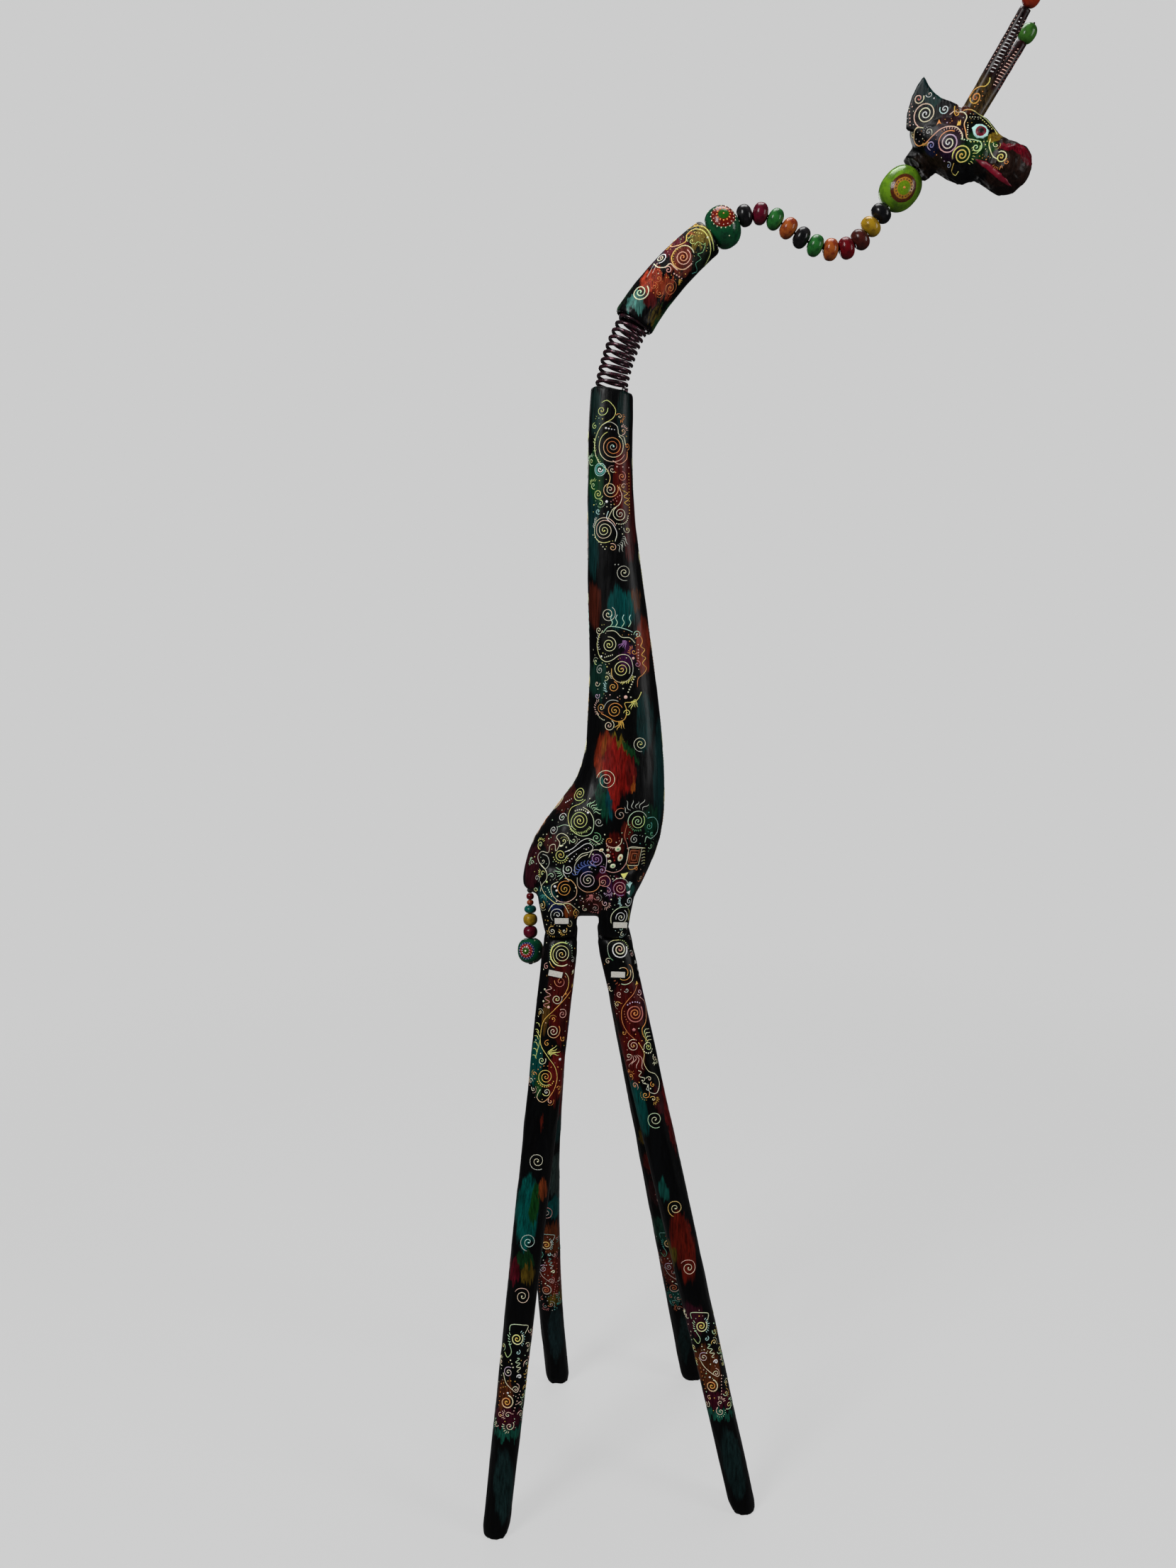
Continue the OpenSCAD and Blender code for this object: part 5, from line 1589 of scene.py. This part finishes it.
for side in HORNS:
    name = f"horn_{side}"
    length = HORNS[side][2]
    horn_material = horn_wood(f"{name}_painted_wood", side)
    steps = 40
    heights = [-HORN_DEPTH + (length - 0.6 + HORN_DEPTH) * k / steps for k in range(steps + 1)]
    start, end = on_horn(side, heights[0]), on_horn(side, heights[-1])
    rings = rod(start, end, [(k / steps, horn_radius(side, h) * MM) for k, h in enumerate(heights)], 32)
    horn = outward(new_object(f"{name}_wood", *skin(rings)))
    chipped(horn, cell_mm=(7, 26), depth_mm=0.3, seed=41 + len(side), along=HORNS[side][1])
    pin_end = on_horn(side, length + 2 * HORN_BEAD_HALF + PIN_OUT)
    pin_radii = [(0, PIN_R * MM), (0.96, PIN_R * MM), (1, PIN_TIP_R * MM)]
    pin = rod(on_horn(side, length - 2), pin_end, pin_radii, 12)
    pin_piece = outward(new_object(f"{name}_pin", *skin(pin)))
    give(horn, horn_material, "head", "horn", name)
    give(pin_piece, horn_material, "head", "horn")
    canvas = Canvas(horn)
    up = (on_horn(side, 1) - on_horn(side, 0)).normalized()
    facing = (-Y_AXIS - up * up.dot(-Y_AXIS)).normalized()
    outer = facing if side == "right" else (Y_AXIS - up * up.dot(Y_AXIS)).normalized()
    canvas.face((on_horn(side, 0), up.cross(outer), up, -outer))
    canvas.curl(-2, 12, 6.8, 1.7, 200, -1, "rust orange gold", half=0.8)
    canvas.path([(-8, 9), (-7, 18), (-3, 23), (1, 25), (3, 30), (1, 35)], "orange gold yellow", half=0.7)
    canvas.dots(-2, 12, 9, 300, 420, 5, 0.8, "orange")
    rows = int((length - HORN_MARKS_FROM - 5) / HORN_MARK_STEP)
    for column, wide in HORN_COLUMNS:
        out = Matrix.Rotation(math.radians(column), 3, up) @ facing
        across = up.cross(out)
        for step in range(rows):
            share = step / rows
            height = HORN_MARKS_FROM + step * HORN_MARK_STEP
            reach = 0.7 + wide * 2.3 * math.sin(math.pi * min(1.0, share + 0.12)) ** 0.7
            middle = on_horn(side, height) + out * horn_radius(side, height) * MM
            step_out = across * reach * MM + up * 0.35 * MM
            points = [canvas.near(middle + step_out * t) for t in (-1, -0.3, 0.3, 1)]
            canvas.line(points, HORN_COLOURS[side][wide], half=0.62 if wide else 0.45, height=0.4)
    canvas.finish(f"{name}_paint_lines", "head", "horn")

# ---- Beads ----

BEAD_UNEVEN = 0.012
BEAD_POWER, BEAD_STEPS = 2.3, 22
NECK_BORE, TAIL_BORE = 3.0, 1.1
SMALL_R, SMALL_HALF = 12.3, 8.8


def bead_profile(radius, half, bore):
    """Outline (along, radius) from one rim of the bore over the bulge to the other.
    BEAD_POWER is 2 for an ellipse, and more for a squarer outline."""
    rows = []
    reach = math.acos(min(1.0, (bore / radius) ** (BEAD_POWER / 2)))
    for k in range(BEAD_STEPS + 1):
        t = -reach + 2 * reach * k / BEAD_STEPS
        along = math.copysign(abs(math.sin(t)) ** (2 / BEAD_POWER), math.sin(t))
        rows.append((half * along, radius * math.cos(t) ** (2 / BEAD_POWER)))
    top = rows[-1][0]
    return [(z * half / top, r) for z, r in rows]


def bead(name, centre, axis, radius, half, bore, seed, sides=48):
    """A turned bead with its bore, slightly uneven as hand-painted beads are."""
    axis = Vector(axis).normalized()
    a, b = basis(axis)
    profile = bead_profile(radius, half, bore)
    rings = []
    for z, r in profile:
        ring = []
        for p, q in circle(sides):
            out = a * p + b * q
            bump = noise.noise(out * 1.6 + axis * z / half + Vector((seed, 0, 0))) * BEAD_UNEVEN * radius
            rr = min(radius, r + bump * (r / radius)) if r > bore * 1.05 else r
            ring.append(centre + (axis * z + out * rr) * MM)
        rings.append(ring)
    count = len(rings)
    verts = [p for ring in rings for p in ring]
    faces = []
    for r in range(count):
        nxt = (r + 1) % count
        for i in range(sides):
            j = (i + 1) % sides
            faces.append((r * sides + i, r * sides + j, nxt * sides + j, nxt * sides + i))
    return outward(new_object(name, verts, faces))


def node_middle(node):
    """Middle of a CAD node's box."""
    low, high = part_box(node)
    return (low + high) / 2


WIRE_ROUTE = [
    (-61, 1538.4), (-51.4, 1545.6), (-33, 1558), (-14, 1568), (6, 1571.5), (27, 1564), (54, 1546), (78, 1534),
    (103, 1532), (122, 1541), (135, 1556), (149, 1573.5), (169, 1599), (186, 1619.5), (193.7, 1628.7),
]
route = [Vector((p[0], 0, p[1])) for p in smoothed_rows(WIRE_ROUTE, 12)]


def wire_direction(point):
    """Direction of the neck wire beside a point."""
    place = point / MM
    i = min(range(len(route)), key=lambda k: (route[k] - place).length)
    return (route[min(i + 1, len(route) - 1)] - route[max(i - 1, 0)]).normalized()


# Two tones of each dye.
DYES = {
    "black": ((0.006, 0.006, 0.007), (0.016, 0.014, 0.016)),
    "maroon": ((0.13, 0.006, 0.020), (0.06, 0.004, 0.010)),
    "green": ((0.025, 0.17, 0.030), (0.010, 0.075, 0.016)),
    "orange": ((0.42, 0.10, 0.018), (0.20, 0.022, 0.010)),
    "red": ((0.16, 0.004, 0.008), (0.07, 0.003, 0.006)),
    "brown": ((0.075, 0.014, 0.010), (0.030, 0.006, 0.006)),
    "yellow": ((0.46, 0.27, 0.014), (0.22, 0.12, 0.010)),
    "teal": ((0.004, 0.13, 0.105), (0.004, 0.055, 0.050)),
}
SMALL_BEADS = {
    "bead_black_1": "black", "bead_maroon": "maroon", "bead_green_1": "green", "bead_orange_1": "orange",
    "bead_black_2": "black", "bead_green_2": "green", "bead_orange_2": "orange", "bead_red": "red",
    "bead_brown": "brown", "bead_yellow": "yellow", "bead_black_3": "black",
}
for index, (node, dye) in enumerate(SMALL_BEADS.items()):
    middle = node_middle(node)
    piece = bead(f"{node}_glossy", middle, wire_direction(middle), SMALL_R, SMALL_HALF, NECK_BORE, index)
    give(piece, lacquer(f"{node}_lacquer", *DYES[dye], origin=tuple(middle)), node, f"bead_{dye}", node)


def ringed_lacquer(name, centre, towards, ground, second, rings):
    """Two-toned lacquer with painted discs facing both ways along towards.
    Rings are outer angle in degrees and colour, from the outside in."""
    n = Nodes(name)
    local = n.vector("SCALE", n.place(tuple(centre)), 1 / MM)
    unit = n.vector("NORMALIZE", local)
    facing = n.math("ABSOLUTE", n.vector("DOT_PRODUCT", unit, tuple(Vector(towards).normalized())))
    angle = n.math("MULTIPLY", n.math("ARCCOSINE", facing), 180 / math.pi)
    wobble = n.math("MULTIPLY", n.math("SUBTRACT", n.noise(local, 0.25, 3, 0.6), 0.5), 3.2)
    angle = n.math("ADD", angle, wobble)
    blotches = n.noise(local, 0.10, 3, 0.6)
    brush = n.noise(local, 0.7, 4, 0.65)
    colour = n.mix(n.ramp(blotches, 0.4, 0.62, smooth=True), ground, second)
    specks = n.ramp(n.noise(local, 0.42, 1, 0.4), 0.735, 0.76)
    colour = n.mix(specks, colour, (0.004, 0.012, 0.004))
    for degrees, rgb in rings:
        painted = n.mix(n.ramp(brush, 0.35, 0.7), rgb, tuple(0.55 * c for c in rgb))
        colour = n.mix(n.ramp(angle, degrees + 0.8, degrees - 0.8), colour, painted)
    return n.surface(
        colour, n.ramp(brush, 0.3, 0.7, 0.16, 0.28), brush, distance=0.0003, strength=0.4,
        Coat_Weight=0.22, Coat_Roughness=0.05, Specular_IOR_Level=0.14,
    )


def ring_of_dots(canvas, centre, towards, degrees, count, size, colour, phase=0.0):
    """Paint dots on a bead, on a cone of directions about towards."""
    d = Vector(towards).normalized()
    a, b = basis(d)
    for k in range(count):
        angle = 2 * math.pi * k / count + phase
        aside = a * math.cos(angle) + b * math.sin(angle)
        out = d * math.cos(math.radians(degrees)) + aside * math.sin(math.radians(degrees))
        hit, normal, _, _ = canvas.tree.ray_cast(centre + out * 0.1, -out)
        if hit is None:
            continue
        canvas.face((hit, *basis(normal), -normal))
        canvas.dot(0, 0, size, colour, height=LINE_HEIGHT_MM)


def dotted_bead(node, slot, axis, sizes, seed, look, paint, ground, second, rings, dots):
    """A large bead with painted rings and rings of dots, facing along look and away from it.
    Sizes are radius, half length and bore; dots are degrees, count, size, colour and perhaps a phase."""
    middle = node_middle(node)
    piece = bead(f"{node}_glossy", middle, axis or wire_direction(middle), *sizes, seed, 64)
    give(piece, ringed_lacquer(paint, middle, look, ground, second, rings), node, slot, node)
    canvas = Canvas(piece)
    for flip in (1, -1):
        for ring in dots:
            ring_of_dots(canvas, middle, Vector(look) * flip, *ring)
    canvas.finish(f"{node}_paint_dots", node, slot)


dotted_bead(
    "bead_large_green", "bead_dotted_green", None, (24, 18.6, NECK_BORE), 51, (-0.05, -0.73, 0.27),
    "large_green_rings", (0.008, 0.10, 0.035), (0.006, 0.048, 0.022),
    rings=[(36, (0.20, 0.012, 0.006)), (15, (0.02, 0.13, 0.008))],
    dots=[(38, 18, 0.95, "cream"), (30, 15, 0.85, "pink", 0.1), (19, 12, 1.15, "orange"),
          (62, 5, 0.9, "cream", 0.6), (0.1, 1, 1.0, "orange")],
)
dotted_bead(
    "bead_large_lime", "bead_dotted_lime", None, (22.3, 24.8, 3.4), 52, (-0.03, -0.91, -0.25),
    "large_lime_rings", (0.16, 0.33, 0.015), (0.09, 0.20, 0.012),
    rings=[(39, (0.13, 0.030, 0.010)), (29, (0.60, 0.27, 0.035)), (19, (0.20, 0.36, 0.012))],
    dots=[(23.5, 17, 0.85, "black"), (0.1, 1, 1.5, "orange"), (35, 26, 0.5, "black", 0.1)],
)

TAIL_BEADS = [
    ("tail_bead_red_small", "red", "bead_red", 4.7, 4.3),
    ("tail_bead_orange", "orange", "bead_orange", 4.2, 3.3),
    ("tail_bead_teal", "teal", "bead_teal", 7.5, 5.0),
    ("tail_bead_yellow", "yellow", "bead_yellow", 8.8, 7.9),
    ("tail_bead_red", "maroon", "bead_red", 8.8, 7.8),
]
for index, (node, dye, slot, radius, half) in enumerate(TAIL_BEADS):
    middle = node_middle(node)
    piece = bead(f"{node}_glossy", middle, Z_AXIS, radius, half, TAIL_BORE, 60 + index, 40)
    give(piece, lacquer(f"{node}_lacquer", *DYES[dye], origin=tuple(middle)), node, slot, node)
dotted_bead(
    "tail_bead_large_green", "bead_dotted_green", Z_AXIS, (16.2, 16.0, TAIL_BORE), 70, (-0.33, -0.89, 0.21),
    "tail_end_rings", (0.006, 0.10, 0.040), (0.004, 0.055, 0.030),
    rings=[(40, (0.010, 0.040, 0.14)), (31, (0.30, 0.012, 0.014)), (15, (0.03, 0.13, 0.008))],
    dots=[(18, 11, 0.8, "white"), (25, 13, 1.0, "red", 0.1), (31, 14, 0.75, "pink"), (38, 20, 0.5, "lilac"),
          (0.1, 1, 1.4, "cream"), (66, 6, 0.7, "cream")],
)

HORN_BEADS = [
    ("horn_bead_red", "right", "bead_red", ((0.34, 0.035, 0.012), (0.18, 0.012, 0.008))),
    ("horn_bead_green", "left", "bead_green", ((0.050, 0.17, 0.022), (0.020, 0.075, 0.012))),
]
for node, side, slot, dyes in HORN_BEADS:
    middle = node_middle(node)
    axis = on_horn(side, 10) - on_horn(side, 0)
    sizes = (HORN_BEAD_R, HORN_BEAD_HALF, HORN_BEAD_BORE)
    piece = bead(f"{node}_glossy", middle, axis, *sizes, 80 + len(side), 40)
    give(piece, lacquer(f"{node}_lacquer", *dyes, origin=tuple(middle)), "head", slot, node)

# ---- Spring ----

SPRING_START = Vector((-164.8, 0, 1376.2))
SPRING_R, WIRE_R, TURNS, SPRING_LENGTH = 17.6, 2.1, 10.5, 84
LEAN_LOW, LEAN_HIGH = 9, 32
CLOSE_PITCH = 2 * WIRE_R + 2.6
OPEN_PITCH = (SPRING_LENGTH - 2 * CLOSE_PITCH) / (TURNS - 2)
BEND_R = SPRING_LENGTH / math.radians(LEAN_HIGH - LEAN_LOW)
MIDDLE_TURN = TURNS / 2
COIL_STEPS = 40
LOWER_BEND, UPPER_BEND = (0, 40), (44, SPRING_LENGTH)


def spring_travel(turn):
    """Millimetres along the spring's axis at a turn: the end turns are closer together."""
    if turn < 1:
        return CLOSE_PITCH * turn
    if turn > TURNS - 1:
        return SPRING_LENGTH - CLOSE_PITCH * (TURNS - turn)
    return CLOSE_PITCH + OPEN_PITCH * (turn - 1)


def spring_lean(s):
    """How far the axis leans forwards some way along it, in radians."""
    return math.radians(LEAN_LOW + (LEAN_HIGH - LEAN_LOW) * s / SPRING_LENGTH)


def spring_axis(s):
    """A point in millimetres some way along the spring's bent axis."""
    lean = spring_lean(s)
    low = math.radians(LEAN_LOW)
    return SPRING_START + Vector((math.cos(low) - math.cos(lean), 0, math.sin(lean) - math.sin(low))) * BEND_R


def coil(name, first, last):
    """The spring's wire between two turns, with COIL_STEPS rings to a turn."""
    rings = []
    count = round((last - first) * COIL_STEPS)
    for k in range(count + 1):
        turn = first + (last - first) * k / count
        s = spring_travel(turn)
        lean = spring_lean(s)
        up = Vector((math.sin(lean), 0, math.cos(lean)))
        front = Vector((math.cos(lean), 0, -math.sin(lean)))
        out = front * math.cos(2 * math.pi * turn) + Y_AXIS * math.sin(2 * math.pi * turn)
        middle = spring_axis(s)
        rings.append(
            [(middle + out * (SPRING_R + WIRE_R * p) + up * WIRE_R * q) * MM for p, q in circle(12)]
        )
    return outward(new_object(name, *skin(rings)))


spring_steel = metal("spring_steel", (0.030, 0.020, 0.024), (0.16, 0.030, 0.055), 0.18)
lower_coil = coil("neck_spring_lower_coil", 0, MIDDLE_TURN)
upper_coil = coil("neck_spring_upper_coil", MIDDLE_TURN, TURNS)
for piece, bodies, bend in (
    (lower_coil, ("body", "neck_spring"), LOWER_BEND),
    (upper_coil, ("neck_spring", "upper_neck"), UPPER_BEND),
):
    piece.data.materials.append(spring_steel)
    start, end = (tuple(spring_axis(s) * MM) for s in bend)
    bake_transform(piece)
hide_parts("neck_spring")

# ---- Wires, staples and labels stay as the CAD made them ----

wire_material = metal("wire_steel", (0.02, 0.018, 0.018), (0.06, 0.045, 0.04), 0.25)
paper_material = label_paper("label_paper")
for nodes, material in (
    (("neck_wire", "tail_wire", "tail_knob", "spring_staple_lower", "spring_staple_upper"), wire_material),
    (("label_hind_stub", "label_front_stub", "label_hind_leg", "label_front_leg"), paper_material),
):
    for node in nodes:
        NODES[node].data.materials.clear()
        NODES[node].data.materials.append(material)

# ---- Floor, world and lights ----

FLOOR_R, FLOOR_FADE_M = 9.0, (0.9, 2.6)
FLOOR_GLOW, FLOOR_DIM_GLOW, FLOOR_ALBEDO = 0.542, 0.03, 0.09
PALE, DIM = (0.604, 0.604, 0.604, 1), (0.02, 0.02, 0.021, 1)


def floor():
    """A round, pale floor that fades into the backdrop."""
    sides = 64
    radii = [FLOOR_R * (k / 24) ** 1.6 for k in range(1, 25)]
    rings = [[(r * p, r * q, 0.0) for p, q in circle(sides)] for r in radii]
    verts = [p for ring in rings for p in ring]
    faces = [tuple(range(sides))]
    for r in range(len(rings) - 1):
        for i in range(sides):
            j = (i + 1) % sides
            faces.append((r * sides + i, (r + 1) * sides + i, (r + 1) * sides + j, r * sides + j))
    obj = new_object("floor", verts, faces, smooth=False)
    n = Nodes("floor_pale")
    place = n.place()
    away = n.vector("LENGTH", place)
    soft = n.noise(place, 3.0, 3, 0.5)
    seen = n.add("ShaderNodeLightPath").outputs["Is Camera Ray"]
    n.surface(n.mix(soft, (FLOOR_ALBEDO,) * 3, (FLOOR_ALBEDO * 1.06,) * 3), 0.9, Specular_IOR_Level=0.0)
    n.shader.inputs["Emission Color"].default_value = (1, 1, 1, 1)
    n.put(n.ramp(seen, 0, 1, FLOOR_DIM_GLOW, FLOOR_GLOW), n.shader.inputs["Emission Strength"])
    clear = n.add("ShaderNodeBsdfTransparent")
    both = n.add("ShaderNodeMixShader")
    n.put(n.ramp(away, *FLOOR_FADE_M, smooth=True), both.inputs[0])
    n.link(n.shader.outputs[0], both.inputs[1])
    n.link(clear.outputs[0], both.inputs[2])
    out = next(node for node in n.tree.nodes if node.type == "OUTPUT_MATERIAL")
    n.link(both.outputs[0], out.inputs["Surface"])
    obj.data.materials.append(n.material)


floor()

world = bpy.data.worlds.new("studio")
world.use_nodes = True
world_nodes = world.node_tree
background = world_nodes.nodes["Background"]
rays = world_nodes.nodes.new("ShaderNodeLightPath")
tone = world_nodes.nodes.new("ShaderNodeMix")
tone.data_type = "RGBA"
tone.inputs[6].default_value = DIM
tone.inputs[7].default_value = PALE
world_nodes.links.new(rays.outputs["Is Camera Ray"], tone.inputs[0])
world_nodes.links.new(tone.outputs[2], background.inputs["Color"])
bpy.context.scene.world = world


def lamp(name, place, aim, size, power):
    """A rectangular soft light aimed at a point."""
    light = bpy.data.lights.new(name, "AREA")
    light.shape = "RECTANGLE"
    light.size, light.size_y = size
    light.energy = power
    obj = bpy.data.objects.new(name, light)
    obj.location = place
    obj.rotation_euler = (Vector(aim) - Vector(place)).to_track_quat("-Z", "Y").to_euler()
    bpy.context.scene.collection.objects.link(obj)


lamp("key_light", (-1.9, -1.9, 2.6), (-0.15, 0, 0.9), (0.9, 1.4), 66)
lamp("fill_light", (2.2, -1.2, 1.6), (-0.1, 0, 0.9), (0.8, 1.6), 26)
lamp("top_light", (0.0, 0.4, 3.2), (-0.1, 0, 0.4), (1.2, 1.2), 28)
lamp("back_light", (-0.5, 2.4, 1.8), (-0.1, 0, 0.9), (1.0, 1.0), 7)
